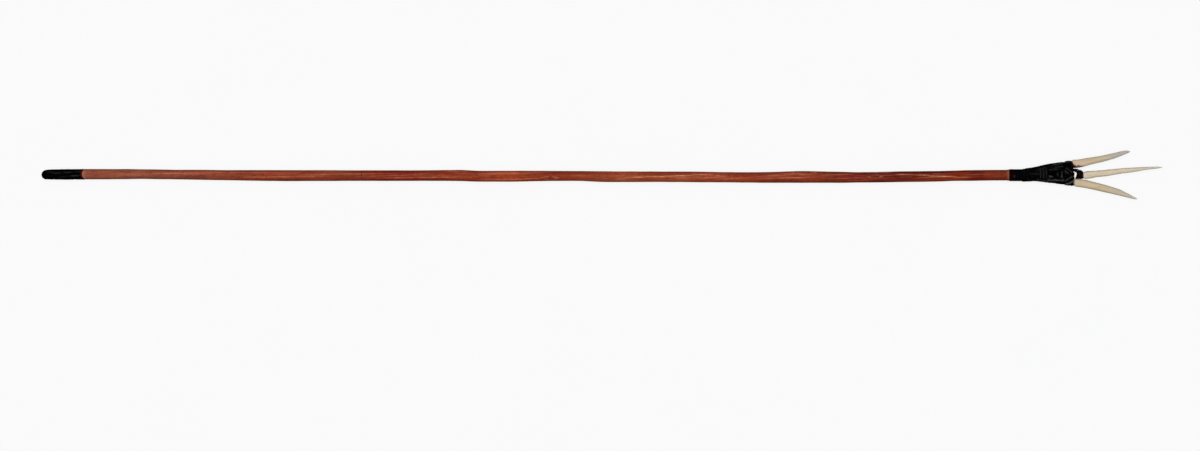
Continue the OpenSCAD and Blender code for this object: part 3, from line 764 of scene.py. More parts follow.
def make_butt():
    n = 72
    a = np.radians(np.linspace(4, 90, 18))
    d_dome = 6.4 - 6.4 * np.cos(a)
    r_dome = 5.80 * np.sin(a) ** 0.92
    dd = np.arange(7.2, 48.2, 0.6)
    d = np.concatenate([d_dome, dd, [48.6, 49.0, 49.35, 49.65, 49.85, 50.0]])
    r = np.concatenate([r_dome, np.interp(dd, [5, 8, 12.5, 18, 30, 47], [5.78, 5.86, 6.00, 6.16, 6.28, 6.32]),
                        [6.36, 6.38, 6.40, 6.40, 6.38, 6.30]])
    phi = TAU * np.arange(n) / n
    D, PH = d[:, None], phi[None]
    deg = np.degrees((phi + math.pi) % TAU - math.pi)[None]
    # the coat's front edge wanders
    along = D + ramp(D, 40, 50) * (coat_edge(phi) + 628)[None]
    body = ramp(D, 3, 9) * (1 - ramp(D, 46, 49.4))
    lumps = (0.13 * noise2(D / 11, PH * 5 / TAU, 23, 5) + 0.07 * noise2(D / 4, PH * 11 / TAU, 24, 11)
             + 0.025 * noise2(D / 1.3, PH * 30 / TAU, 25, 30)) * body
    lumps = lumps + 0.05 * noise2(D / 2.4, PH * 7 / TAU, 26, 7) * ramp(D, 0.5, 4)
    # runs of pitch along the coat, and a chip near its edge
    for x0, x1, ang, w, h in ((12, 40, -16, 11, 0.20), (8, 30, 28, 9, 0.16), (20, 44, 100, 12, 0.18),
                              (10, 36, -118, 12, 0.20), (16, 46, 166, 10, 0.18)):
        f = np.clip((D - x0) / (x1 - x0), 0, 1)
        dd = (deg - ang - 6 * noise1(D / 8, 31) + 180) % 360 - 180
        lumps = lumps + h * np.exp(-(dd / w) ** 2) * np.clip(4 * f * (1 - f), 0, 1) ** 0.5
    chip = np.exp(-((along - 39.8) / 1.5) ** 2 - (((deg + 96 + 180) % 360 - 180) / 17) ** 2)
    lumps = lumps - 0.36 * chip
    rad = r[:, None] + np.clip(lumps, -0.4, 0.20)
    rad = np.where(D > 46.5, np.maximum(rad, 6.36), rad)
    axis = 0.93 - 0.16 * (1 - ramp(D, 34, 46)) - 0.34 * (1 - ramp(D, 0, 15))
    P = np.stack([-678 + along - 0.5 * (1 - ramp(D, 0, 16)), axis + (rad + 0.05) * np.sin(PH),
                  6.2 + (rad - 0.06) * np.cos(PH)], -1)
    P[..., 0] = np.maximum(P[..., 0], -678.5)
    # painted highlight streaks along the top of the coat, and lighter dry patches on its underside
    grey = np.zeros(rad.shape)
    for gx, gy, gl, gw, g in ((-642.0, 1.2, 1.0, 0.9, 0.0), (-646.5, 3.2, 5.0, 0.75, 0.70), (-638.0, -0.9, 5.2, 0.75, 1.0),
                              (-660.5, 2.3, 5.5, 0.8, 0.50), (-651.0, -1.9, 5.5, 0.6, 0.35), (-633.5, 4.4, 3.0, 0.6, 0.35),
                              (-667.0, 4.0, 4.0, 0.6, 0.35), (-656.5, -3.8, 6.0, 0.5, 0.25)):
        near_by = np.exp(-np.abs((P[..., 0] - gx - 0.6 * np.sin(P[..., 1])) / gl) ** 3 - ((P[..., 1] - gy - 0.05 * (P[..., 0] - gx)) / gw) ** 2)
        grey = np.maximum(grey, g * near_by * (P[..., 2] > 6.2))
    grey = np.maximum(grey, 0.5 * np.clip(noise2(D / 9, PH * 14 / TAU, 28, 14) - 0.35, 0, 1) * (P[..., 2] < 6.2))
    ahead = 50 - D + 0.5 * noise2(D / 2, PH * 9 / TAU, 27, 9)
    thin = (1 - ramp(ahead, 1.3, 3.4)) * np.ones(rad.shape)
    # the inner wall that sits on the stick, stepped where the stick is turned down
    di = np.array([49.9, 49.6, 48.0, 47.3, 47.0, 40, 30, 18, 11.3, 7, 5, 3.2, 1.9, 1.1])
    ri = np.array([6.24, 6.22, 6.22, 6.20, 5.42, 5.4, 5.4, 5.4, 5.1, 4.8, 4.6, 4.2, 3.0, 1.5])
    Q = np.stack([np.broadcast_to((-678 + di)[:, None], (len(di), n)),
                  0.93 + ri[:, None] * np.sin(phi)[None], 6.2 + ri[:, None] * np.cos(phi)[None]], -1)
    reach = along[-1] - 50
    for k in range(4):
        Q[k, :, 0] += reach * ramp(di[k], 40, 50)
    b = Build()
    b.tube(np.concatenate([P, Q]), thin=np.concatenate([thin, np.ones((len(Q), n)) * 0.8]),
           dry=np.concatenate([grey, np.zeros((len(Q), n))]))
    return b.make("butt_coat", M_PITCH, "pitch", ["butt_pitch_coat"])


make_butt()


# ------------------------------------------------------------------ form of the head

FAN = [[-64, 7.1, -7.2, 6.7, 2], [-58.5, 8.2, -8.05, 7.0, 2], [-49, 9.65, -7.95, 7.1, 2.2], [-40, 11.55, -8.5, 7.2, 2.5],
       [-30, 13.65, -9.8, 7.3, 2.7], [-20, 15.1, -11.0, 7.4, 2.8], [-12.5, 16.15, -12.05, 7.5, 3],
       [-10.5, 16.65, -12.55, 7.6, 3], [-5, 17.2, -13.2, 7.6, 3], [-1.2, 16.9, -13.35, 7.4, 3],
       [0, 16.4, -12.9, 7.1, 3], [3, 16.0, -12.5, 6.9, 3]]
SINK = 0.36  # the cords' crests, not their middles, lie on that surface
OFF = np.array([X_MOUTH, HEAD_Y, HEAD_Z])


class Form:
    """The head's outer surface: u along it, w round it (0 at +Y, a quarter at the top, a half at -Y)."""

    def __init__(self, rows, du=0.5, n=320):
        self.u0, self.du, self.n = rows[0][0], du, n
        u = np.arange(rows[0][0], rows[-1][0] + 1e-9, du)
        top, bot, half, e = table(rows, u).T
        a = np.linspace(0, TAU, 1921)
        c, s = np.cos(a)[None], np.sin(a)[None]
        p = (2 / e)[:, None]
        y = ((top + bot) / 2)[:, None] + ((top - bot) / 2)[:, None] * np.sign(c) * np.abs(c) ** p
        z = half[:, None] * np.sign(s) * np.abs(s) ** p
        length = np.concatenate([np.zeros((len(u), 1)), np.cumsum(np.hypot(np.diff(y), np.diff(z)), 1)], 1)
        self.around = length[:, -1]
        w = np.linspace(0, 1, n + 1)
        self.Y = np.stack([np.interp(w, length[i] / length[i, -1], y[i]) for i in range(len(u))])
        self.Z = np.stack([np.interp(w, length[i] / length[i, -1], z[i]) for i in range(len(u))])

    def at(self, u, w):
        i = np.clip((np.asarray(u, float) - self.u0) / self.du, 0, len(self.Y) - 1.001)
        j = (np.asarray(w, float) % 1) * self.n
        i0, j0 = i.astype(int), np.minimum(j.astype(int), self.n - 1)
        fi, fj = i - i0, j - j0
        out = []
        for G in (self.Y, self.Z):
            out.append((G[i0, j0] * (1 - fi) + G[i0 + 1, j0] * fi) * (1 - fj)
                       + (G[i0, j0 + 1] * (1 - fi) + G[i0 + 1, j0 + 1] * fi) * fj)
        return np.stack([np.asarray(u, float) + 0 * out[0], out[0], out[1]], -1)

    def point(self, u, w, h=0.0):
        """The point over (u, w) at height h, in mm, and the outward normal."""
        u, w, h = np.broadcast_arrays(np.asarray(u, float), np.asarray(w, float), np.asarray(h, float))
        pu = self.at(u + 0.6, w) - self.at(u - 0.6, w)
        pw = self.at(u, w + 0.006) - self.at(u, w - 0.006)
        N = unit(np.cross(pw, pu))
        P = self.at(u, w) + N * h[..., None]
        return P + OFF, N

    def length(self, u):
        i = np.clip((np.asarray(u, float) - self.u0) / self.du, 0, len(self.Y) - 1.001)
        i0 = i.astype(int)
        return self.around[i0] * (1 - (i - i0)) + self.around[i0 + 1] * (i - i0)

    def w_of(self, u, y, back=False):
        """w on the top face (or the underside) where the side position is y, seen from above."""
        w = np.linspace(0.03, 0.47, 221)
        yy = self.at(np.full(len(w), float(u)), w)[:, 1]
        found = float(np.interp(-y, -yy, w))
        return 1 - found if back else found


form = Form(FAN)


# Painted highlights on the cords' crests, where light from above catches them: [u, y, u, y, half width, strength]
HIGHLIGHTS = [[-40.9, 8.0, -40.6, -3.0, 0.62, 0.20], [-37.3, 9.4, -37.2, -3.6, 0.62, 0.24], [-33.8, 9.4, -33.8, -3.4, 0.58, 0.19],
          [-52.5, 1.4, -42.5, 1.6, 1.3, 0.06], [-46.0, -4.3, -43.6, -5.4, 0.8, 0.14], [-30.0, -1.6, -25.8, -2.2, 0.9, 0.42],
          [-31.5, -6.2, -12.5, -6.6, 0.80, 0.60],
          [-15.4, 3.4, -14.4, -3.6, 0.7, 0.38], [-20.1, 3.0, -19.6, -0.4, 0.6, 0.32], [-11.2, 5.5, -7.2, 1.7, 0.6, 0.44],
          [-9.2, 8.2, -3.0, 3.2, 0.5, 0.38], [-11.0, -7.3, -3.0, -2.3, 0.65, 0.50], [-9.8, -10.9, -5.4, -9.9, 0.95, 1.0],
          [-5.4, -9.9, -1.2, -7.6, 0.85, 1.0], [-10.6, 15.2, -5.2, 15.6, 0.65, 0.34], [-26.0, 12.2, -14.0, 13.9, 0.65, 0.30],
          [-30.0, 6.4, -21.0, 6.9, 0.8, 0.20], [-22.0, 9.4, -13.0, 10.6, 0.6, 0.18], [-47.0, -6.0, -33.0, -7.2, 0.7, 0.24]]
# Painted shade: lines along which the painted highlights are taken away, seen from above: [u, y, u, y, half width]
SHADED = [[-53.4, 5.2, -49.5, 4.8, 1.3], [-50.5, -4.5, -46.5, -4.4, 1.2], [-39.4, 9.0, -39.4, -3.4, 0.5], [-35.7, 9.4, -35.7, -3.4, 0.5],
        [-31.6, 9.8, -31.6, -3.0, 0.6], [-28.6, 1.8, -22.6, 1.7, 1.5], [-26.0, -3.6, -17.0, -4.2, 0.6], [-21.0, -9.0, -12.0, -9.6, 0.7],
        [-13.5, 8.4, -1.4, -0.1, 0.8], [-8.0, 12.6, -4.4, 11.4, 1.3], [-6.0, -5.6, -1.0, -5.4, 0.6]]


def strokes(rows, u, y):
    """How near (u, y) is to each line of a table, as the strongest of them from 0 to 1."""
    out = np.zeros(np.shape(u))
    for row in rows:
        a, b, c, d, r = row[:5]
        t = np.clip(((u - a) * (c - a) + (y - b) * (d - b)) / max((c - a) ** 2 + (d - b) ** 2, 1e-9), 0, 1)
        dist = np.hypot(u - a - t * (c - a), y - b - t * (d - b))
        out = np.maximum(out, (row[5] if len(row) > 5 else 1.0) * (1 - ramp(dist, 0.30 * r, 1.6 * r)))
    return out


def highlight_and_shade(P, up):
    """Painted highlight at the points P on the side that shows from above, less the painted shade and with light
    specks, and a weaker even one underneath.
    """
    u, y = P[..., 0] - X_MOUTH, P[..., 1] - HEAD_Y
    face = 1.28 * strokes(HIGHLIGHTS, u, y) * np.clip(0.92 + 0.50 * noise2(u / 2.6, y / 2.2, 65), 0.1, 1.3)
    face = face + 0.085 * ramp(noise2(u / 2.1, y / 1.7, 66), 0.18, 0.62) - 0.9 * strokes(SHADED, u, y)
    under = 0.08 + 0.18 * noise2(u / 5.0, y / 3.0, 64)
    return np.where(up, face, under)


def side_sheen(P, N):
    """Painted sheen on the narrow sides, so that they show some light."""
    u, z = P[..., 0] - X_MOUTH, P[..., 2] - HEAD_Z
    return (1 - ramp(np.abs(N[..., 2]), 0.20, 0.55)) * np.clip(0.10 + 0.24 * noise2(u / 4.2, z / 2.4, 67), 0, 1)


def mouth_slant(P):
    """How far the mouth's edge is set back on the +Y side."""
    u, y = P[..., 0] - X_MOUTH, P[..., 1] - HEAD_Y
    return -1.40 * np.clip((y - 10.6) / 5.8, 0, 1.1) ** 1.15 * np.clip((u + 11) / 10, 0, 1)


DIMPLE_U, DIMPLE_W = -25.0, form.w_of(-25.0, 1.7)


def dimple(u, w):
    d = ((w - DIMPLE_W + 0.5) % 1 - 0.5) * form.length(u)
    return np.exp(-((u - DIMPLE_U) / 3.9) ** 2 - (d / 2.0) ** 2)


def near(u, w, u0, y0, ru, ry, back=False):
    """A soft spot at (u0, y0) on the top face or the underside."""
    d = ((w - form.w_of(u0, y0, back) + 0.5) % 1 - 0.5) * form.length(u)
    return np.exp(-(np.abs((u - u0) / ru) ** 2.6 + np.abs(d / ry) ** 2.6))


# ------------------------------------------------------------------ pitch between and over the cords

def pitch_cover(u, w):
    """0 where the cords lie bare, 1 where pitch fills in between them."""
    s = 0.62 * noise2(u / 9.0, w * 8, 54, 8) + 0.38 * noise2(u / 3.6, w * 20, 55, 20)
    s = ramp(s, -0.12, 0.36)
    for spot in ((-22.5, 7.4, 6.4, 3.4, False), (-45.5, 2.4, 5.2, 3.2, False), (-50.5, -3.2, 3.2, 2.4, False),
                 (-16.5, -5.2, 4.0, 1.6, False), (-8.5, 13.0, 2.4, 2.6, False), (-32, -1.0, 7.0, 4.0, True),
                 (-14, 6.0, 5.0, 4.0, True)):
        s = np.maximum(s, near(u, w, *spot))
    return s * (1 - 0.9 * dimple(u, w)) * (1 - ramp(u, -3.5, -1.0))


def make_pitch_body():
    n = 192
    us = np.concatenate([np.arange(-59.5, -1.29, 0.42), [-1.1, -0.95]])
    w = np.arange(n) / n
    U, W = us[:, None] + np.zeros((1, n)), w[None] + np.zeros((len(us), 1))
    cover = pitch_cover(U, W)
    h = -1.02 + 0.42 * (1 - ramp(U, -56, -50)) + 0.12 * noise2(U / 2.6, W * 22, 51, 22) + 0.06 * noise2(U / 1.2, W * 48, 52, 48)
    h = h + cover * (0.80 - 0.36 * (1 - ramp(U, -56, -50)))
    h = h - 0.75 * dimple(U, W) - 0.35 * ramp(U, -2.2, -0.95)
    P, N = form.point(U, W, h)
    P[..., 0] += mouth_slant(P)
    # the front face, gently domed, with its own lumps
    rings = []
    edge = P[-1]
    centre = np.array([X_MOUTH - 0.8, HEAD_Y + 1.8, HEAD_Z])
    for k, f in enumerate((0.975, 0.94, 0.89, 0.82, 0.73, 0.63, 0.52, 0.41, 0.30, 0.19, 0.09)):
        ring = centre + (edge - centre) * f
        ring[:, 0] = edge[:, 0] * f + (X_MOUTH - 0.70) * (1 - f) + 0.28 * math.sin(math.pi * f) ** 0.7 \
            + 0.16 * noise2(k * 0.9, w * 16, 53, 16)
        rings.append(ring)
    rear = P[0].mean(0) + (P[0] - P[0].mean(0)) * 0.86
    allP = np.concatenate([rear[None], P, np.stack(rings)])
    b = Build()
    thin = np.concatenate([np.zeros((1, n)), 0.02 * cover, np.full((len(rings), n), 0.30)])
    # the pitch between the cords is lighter under the painted highlights: painted sheen
    grey = cover * np.clip(0.06 + 1.1 * highlight_and_shade(P, N[..., 2] > 0), 0, 1)
    grey = np.concatenate([np.zeros((1, n)), grey, np.zeros((len(rings), n))])
    b.tube(allP, thin=thin, grey=grey)
    return b.make("head_pitch", M_PITCH, "pitch", ["pitch_fill"])


make_pitch_body()


# ------------------------------------------------------------------ strands on the head

def cord(build, P, N, half_w, half_t, seed=0, step=0.34, sides=10, ply=0.10, twist=2.3, wobble=1.0,
         thin=0.0, rub=0.0, blunt=0.9, slant=True):
    """A cord along the points P, whose thickness points along N, with the small unevenness of a real one."""
    s = np.concatenate([[0], np.cumsum(np.linalg.norm(np.diff(P, axis=0), axis=1))])
    k = max(8, int(round(s[-1] / step)))
    at = np.linspace(0, s[-1], k + 1)
    pick = lambda a: np.interp(at, s, a) if np.ndim(a) == 1 else np.full(len(at), float(a))
    P = np.stack([pick(P[:, i]) for i in range(3)], -1)
    N = unit(np.stack([pick(N[:, i]) for i in range(3)], -1))
    B = unit(np.cross(unit(np.gradient(P, axis=0)), N))
    side = 0.11 * noise1(at / 5.3, 900 + seed) + 0.04 * noise1(at / 1.7, 901 + seed)
    lift = 0.05 * noise1(at / 3.7, 903 + seed) + 0.03 * noise1(at / 1.3, 904 + seed)
    P = P + B * (wobble * side)[:, None] + N * (wobble * lift)[:, None]
    if slant:
        P[:, 0] += mouth_slant(P)
    hw = half_w * (1 + wobble * 0.08 * noise1(at / 4.1, 905 + seed))
    ht = half_t * (1 + wobble * 0.08 * noise1(at / 3.3, 906 + seed))
    tone = 0.55 + 0.45 * math.sin(2.4 * seed)  # how bright each strand's painted highlight is, at random
    shade = (0.004 + 0.035 * pick(rub) * tone) * (0.5 + 0.5 * noise1(at / 6.0, 907 + seed))
    shade = shade * ramp(noise2((P[:, 0] - X_MOUTH) / 2.4, P[:, 1] / 2.0, 68), -0.35, 0.10)
    shade = shade + highlight_and_shade(P, N[:, 2] > -0.05) * (0.75 + 0.25 * tone) + side_sheen(P, N)
    # the painted highlight lies on each cord's outward crest
    crest = np.clip(np.sin(TAU * np.arange(sides) / sides), 0, 1) ** 1.4
    shade = np.clip(shade, 0, 1)[:, None] * crest[None]
    build.tube(sweep(P, N, hw, ht, sides, ply, twist, seed * 0.7, blunt), thin=pick(thin), rub=shade)


def lay(build, u, w, h, half_w, half_t, seed=0, **more):
    """Lays a cord over the head through (u, w) at the height h over its bed."""
    u, w, h = np.broadcast_arrays(np.asarray(u, float), np.asarray(w, float), np.asarray(h, float))
    h = h - SINK - 0.75 * dimple(u, w)
    P, N = form.point(u, w, h)
    cord(build, P, N, half_w, half_t, seed, **more)


def ends_down(count, depth=0.7, k=6):
    h = np.zeros(count)
    h[:k] -= np.linspace(depth, 0, k)
    h[-k:] -= np.linspace(0, depth, k)
    return h


def make_base_turns():
    b = Build()
    pitch, u_start, u_end = 1.36, -57.4, -11.4
    turns = int((u_end - u_start) / pitch)
    k = np.linspace(0, turns, turns * 90)
    u = u_start + pitch * k + 0.26 * noise1(k * 3, 61) + 0.35 * np.sin(TAU * k + 1.0)
    h = -0.50 + 0.40 * (1 - ramp(u, -56.5, -50))
    lay(b, u, k + 0.55, h, 0.72, 0.42, seed=3, step=0.42, sides=8, rub=0.20)
    return b.make("fan_turns", M_CORD, "pitched_cord", ["fan_lashing"])


def make_fan_strands():
    """Strands that run from the neck and spread to the mouth, over the turns."""
    b = Build()
    rng = np.random.default_rng(23)
    for face in (0, 1):
        count = 14
        for i in range(count):
            w0 = 0.040 + 0.42 * i / (count - 1) + rng.uniform(-0.007, 0.007)
            if face:
                w0 = 1 - w0
            u = np.linspace(-57.6 + rng.uniform(-0.9, 0.5), -12.0 - rng.uniform(0, 1.0), 70)
            spread = ramp(u, -57, -8)
            w = w0 + rng.uniform(-0.014, 0.014) * spread + 0.007 * noise1(u / 13, 70 + i + 20 * face)
            if not face:
                # parted round the hollow in the middle, closing in towards the lower corner
                d = w - DIMPLE_W
                w = w + 0.052 * np.sign(d + 1e-6) * np.exp(-((u + 25) / 6.5) ** 2) * np.exp(-(d / 0.06) ** 2)
                low = ramp(w, 0.36, 0.45)
                w = w + low * 0.020 * ramp(u, -30, -14)
            h = -0.06 - 0.50 * (1 - ramp(u, -58, -53)) - 0.45 * ramp(u, -15, -12)
            # painted highlight, brighter in two patches seen from above
            rub = 0.25 + 0.35 * near(u, w, -45, 2.4, 6, 3.2) + 0.3 * near(u, w, -16, -7, 7, 2.4)
            lay(b, u, w, h, rng.uniform(0.58, 0.78), 0.40, seed=100 + i + 40 * face, rub=rub)
    return b.make("fan_strands", M_CORD, "pitched_cord", [])


def make_binding():
    """Turns across the strands in the middle of the flare, and the bowed turns in front of the hollow."""
    b = Build()
    rng = np.random.default_rng(5)
    for i, u0 in enumerate((-40.6, -39.0, -36.6, -35.1, -32.6, -31.2, -29.6)):
        w = np.linspace(0, 1.0, 90) + 0.61 + rng.uniform(-0.03, 0.03)
        u = u0 + 0.40 * np.sin(TAU * w + 0.6 * i) + (w - w[0]) * 0.9 * (1 if i % 2 else -0.5)
        # painted highlight, brightest where the turn crosses the top
        rub = 0.22 + 0.40 * np.exp(-((w - 1.25) / 0.13) ** 2)
        lay(b, u, w, 0.06 + ends_down(90, 0.6), 0.72 + rng.uniform(-0.06, 0.06), 0.36, seed=200 + i, rub=rub)
    for i in range(4):
        u0 = -20.9 + 1.75 * i
        w = np.linspace(-0.14, 0.60, 70)
        bow = 2.6 * np.exp(-((w - DIMPLE_W - 0.01) / 0.12) ** 2)
        u = u0 + bow + 0.3 * np.sin(TAU * w)
        # painted highlight, brightest where the turn crosses the top
        rub = 0.22 + 0.45 * np.exp(-((w - 0.26) / 0.12) ** 2)
        lay(b, u, w, 0.02 + ends_down(70), 0.70, 0.37, seed=230 + i, rub=rub)
    for i in range(5):  # the underside has plain turns there
        u0 = -24.5 + 2.4 * i
        w = np.linspace(0.50, 1.00, 60)
        u = u0 + 0.5 * np.sin(TAU * w + i)
        lay(b, u, w, 0.0 + ends_down(60), 0.72, 0.37, seed=250 + i, rub=0.3)
    # a loose strand that wanders back over the rear turns
    pts = [[-55.5, -3.2], [-51.5, -0.8], [-47.0, 0.9], [-42.5, 1.6], [-38.5, 3.4]]
    u, w = face_path(pts)
    lay(b, u, w, 0.12 + ends_down(len(u), 0.6, 8), 0.66, 0.36, seed=270, rub=0.55)
    return b.make("fan_binding", M_CORD, "pitched_cord", [])


def face_path(points, back=False):
    """Given points [u, y] on the top face become (u, w)."""
    p = smooth_path([[u, form.w_of(u, y, back)] for u, y in points], 14)
    return p[:, 0], p[:, 1]


def make_band():
    """Close turns round the mouth."""
    b = Build()
    turns = 7
    for i in range(turns):
        u0 = -10.9 + 1.62 * i
        w = np.linspace(0, 1, 110) + 0.66 + 0.03 * i
        u = u0 + 0.22 * np.sin(TAU * w + 0.9 * i)
        front = ramp(i, 4.5, 6)
        u = u - front * 0.55 * np.abs(np.sin(TAU * w)) ** 1.5
        h = -0.12 - 0.30 * front + 0.28 * np.sin(TAU * w) ** 2
        thin = 0.85 * np.maximum(np.cos(TAU * w), 0) ** 2 * ramp(i, 3.5, 6) + 0.10 * front
        lay(b, u, w, h, 0.80, 0.48, seed=300 + i, thin=thin, rub=0.22, blunt=0.4)
    return b.make("mouth_band_turns", M_CORD, "pitched_cord", ["mouth_band"])


def over_mouth(build, top, bottom, level, seed, drop=0.0):
    """A cord over the top face, down across the front between the prongs, and back along the underside."""
    ut, wt = face_path(top)
    ub, wb = face_path(bottom, True)
    ft, fb = np.linspace(0, 1, len(ut)), np.linspace(0, 1, len(ub))
    h = level - SINK - 0.7 * (1 - ramp(ft, 0, 0.10))
    Pt, Nt = form.point(ut, wt, h)
    Pb, Nb = form.point(ub, wb, level - SINK - 0.7 * (1 - ramp(fb, 0, 0.10)))
    a, b2 = Pt[-1], Pb[-1]
    t = np.linspace(0, 1, 17)[1:-1]
    z = a[2] * (1 - t) + b2[2] * t
    bulge = np.sin(math.pi * t) ** 0.30
    front = X_MOUTH + 0.28 - drop + 0.10 * noise1(t * 5, 880 + seed)
    x = (a[0] * (1 - t) + b2[0] * t) * (1 - bulge) + front * bulge
    y = a[1] * (1 - t) + b2[1] * t + 0.25 * noise1(t * 3, 870 + seed) * bulge
    F = np.stack([x, y, z], -1)
    NF = unit(np.stack([bulge * 1.6, 0 * t, (1 - 2 * t) * (1.15 - bulge)], -1))
    P = np.concatenate([Pt, F, Pb[::-1]])
    N = np.concatenate([Nt, NF, Nb[::-1]])
    s = np.linspace(0, 1, len(P))
    thin = 0.35 * np.exp(-((np.arange(len(P)) - len(Pt) - 7.0) / 9.0) ** 2)
    cord(build, P, N, 0.76, 0.40, seed, thin=thin, rub=0.40, slant=False)


def make_diagonals():
    """Strands that cross the mouth's faces slantwise and pass between the prongs."""
    b = Build()
    over_mouth(b, [[-16.0, 15.0], [-12.9, 11.6], [-8.6, 7.0], [-4.4, 2.4], [-1.3, -0.8]],
               [[-15.0, 14.6], [-10.6, 10.0], [-5.6, 4.6], [-1.3, 0.2]], 0.04, 400)
    over_mouth(b, [[-13.6, 15.5], [-10.8, 12.2], [-6.7, 8.0], [-3.2, 4.0], [-1.3, 1.5]],
               [[-12.2, 15.2], [-8.2, 11.0], [-4.0, 6.2], [-1.3, 2.3]], 0.04, 401)
    over_mouth(b, [[-18.8, 13.6], [-14.8, 9.6], [-10.2, 4.8], [-5.4, 0.2], [-1.3, -3.2]],
               [[-16.5, -9.4], [-11.0, -6.6], [-6.0, -4.0], [-1.3, -2.6]], -0.03, 403)
    over_mouth(b, [[-14.0, -11.0], [-10.4, -8.6], [-6.0, -6.0], [-1.3, -4.2]],
               [[-12.0, -10.6], [-8.0, -8.0], [-4.4, -5.8], [-1.3, -4.3]], -0.10, 406)
    over_mouth(b, [[-11.0, 15.8], [-8.2, 13.2], [-5.0, 10.8], [-1.3, 9.2]],
               [[-10.5, 15.6], [-7.5, 13.0], [-4.0, 10.6], [-1.3, 9.4]], -0.02, 407)
    over_mouth(b, [[-12.4, 15.8], [-9.6, 12.9], [-5.9, 9.4], [-2.9, 6.2], [-1.3, 4.6]],
               [[-11.4, 15.6], [-8.0, 12.0], [-4.4, 8.4], [-1.3, 5.4]], 0.02, 408, drop=0.35)
    u, w = face_path([[-19.5, -9.2], [-14.4, -7.0], [-9.0, -4.6], [-4.6, -2.8], [-2.0, -2.4]])
    lay(b, u, w, -0.06 + ends_down(len(u), 0.7, 7), 0.74, 0.40, seed=405, rub=0.45)
    u, w = face_path([[-8.9, 16.0], [-6.9, 14.2], [-4.4, 13.0], [-2.2, 12.6]])
    lay(b, u, w, 0.02 + ends_down(len(u), 0.7, 7), 0.72, 0.40, seed=409, rub=0.45)
    # at the lower corner: strands that close in on each other, and a bight round the prong's root
    low = [
        [[-27, -5.4], [-20, -6.7], [-14, -7.5], [-9.4, -8.0]],
        [[-26, -7.4], [-20, -8.3], [-14, -8.7], [-9.2, -9.0]],
        [[-11.0, -6.8], [-8.8, -8.5], [-5.8, -9.3], [-2.8, -8.9], [-1.2, -7.8]],
        [[-9.8, -9.4], [-7.4, -10.8], [-4.4, -11.2], [-1.6, -10.5]],
    ]
    for i, pts in enumerate(low):
        u, w = face_path(pts)
        lay(b, u, w, (0.02 if i > 1 else 0.08) + ends_down(len(u), 0.6, 7), 0.74, 0.40, seed=430 + i,
            thin=0.15 * ramp(u, -6, 0), rub=0.60 if i != 3 else 0.85)
    return b.make("mouth_strands", M_CORD, "pitched_cord", [])


make_base_turns()
make_fan_strands()
make_binding()
make_band()
make_diagonals()


# ------------------------------------------------------------------ neck

def neck_ring(x, ang, r):
    """ang from the top towards +Y."""
    return np.stack([x, NECK_Y + r * np.sin(ang), HEAD_Z + r * np.cos(ang)], -1), \
        np.stack([0 * x, np.sin(ang), np.cos(ang)], -1)


def make_whipping():
    b = Build()
    x0, x1, pitch = 492.6, 508.6, 0.71
    turns = (x1 - x0) / pitch
    k = np.linspace(0, turns, int(turns * 64))
    x = x0 + pitch * k + 0.05 * noise1(k * 4.3, 81)
    r = NECK_R + 0.52 + 0.03 * noise1(k * 5.1, 82) - 0.75 * (1 - ramp(k, 0.02, 0.16)) - 0.5 * ramp(k, turns - 0.12, turns)
    P, N = neck_ring(x, TAU * k + 0.6, r)
    P[:, 1] = NECK_Y + 1.032 * (P[:, 1] - NECK_Y) + 0.04
    thin = np.clip(1.7 * (1 - ramp(x, 496.8, 500.2)) + 0.2 * noise1(k * 2.1, 83), 0, 1.7)
    rub = 0.35 + 0.25 * noise1(k * 3.0, 84)
    crest = np.clip(np.sin(TAU * np.arange(8) / 8), 0, 1)[None]
    # painted highlight: a bright spot on top of the whipping, and a faint one along the turns' crests
    spot = 0.7 * np.exp(-((x - 498.6) / 0.9) ** 2 - ((P[:, 1] + 1.5) / 1.2) ** 2) * (P[:, 2] > HEAD_Z)
    rub = np.clip(0.012 * rub + 0.6 * spot, 0, 1)[:, None] * crest
    b.tube(sweep(P, N, 0.365, 0.36, 8, 0.05, 1.1, 0.0, 0.4), thin=thin, rub=rub)
    return b.make("neck_whipping_turns", M_TWINE, "pitched_cord", ["neck_whipping"])


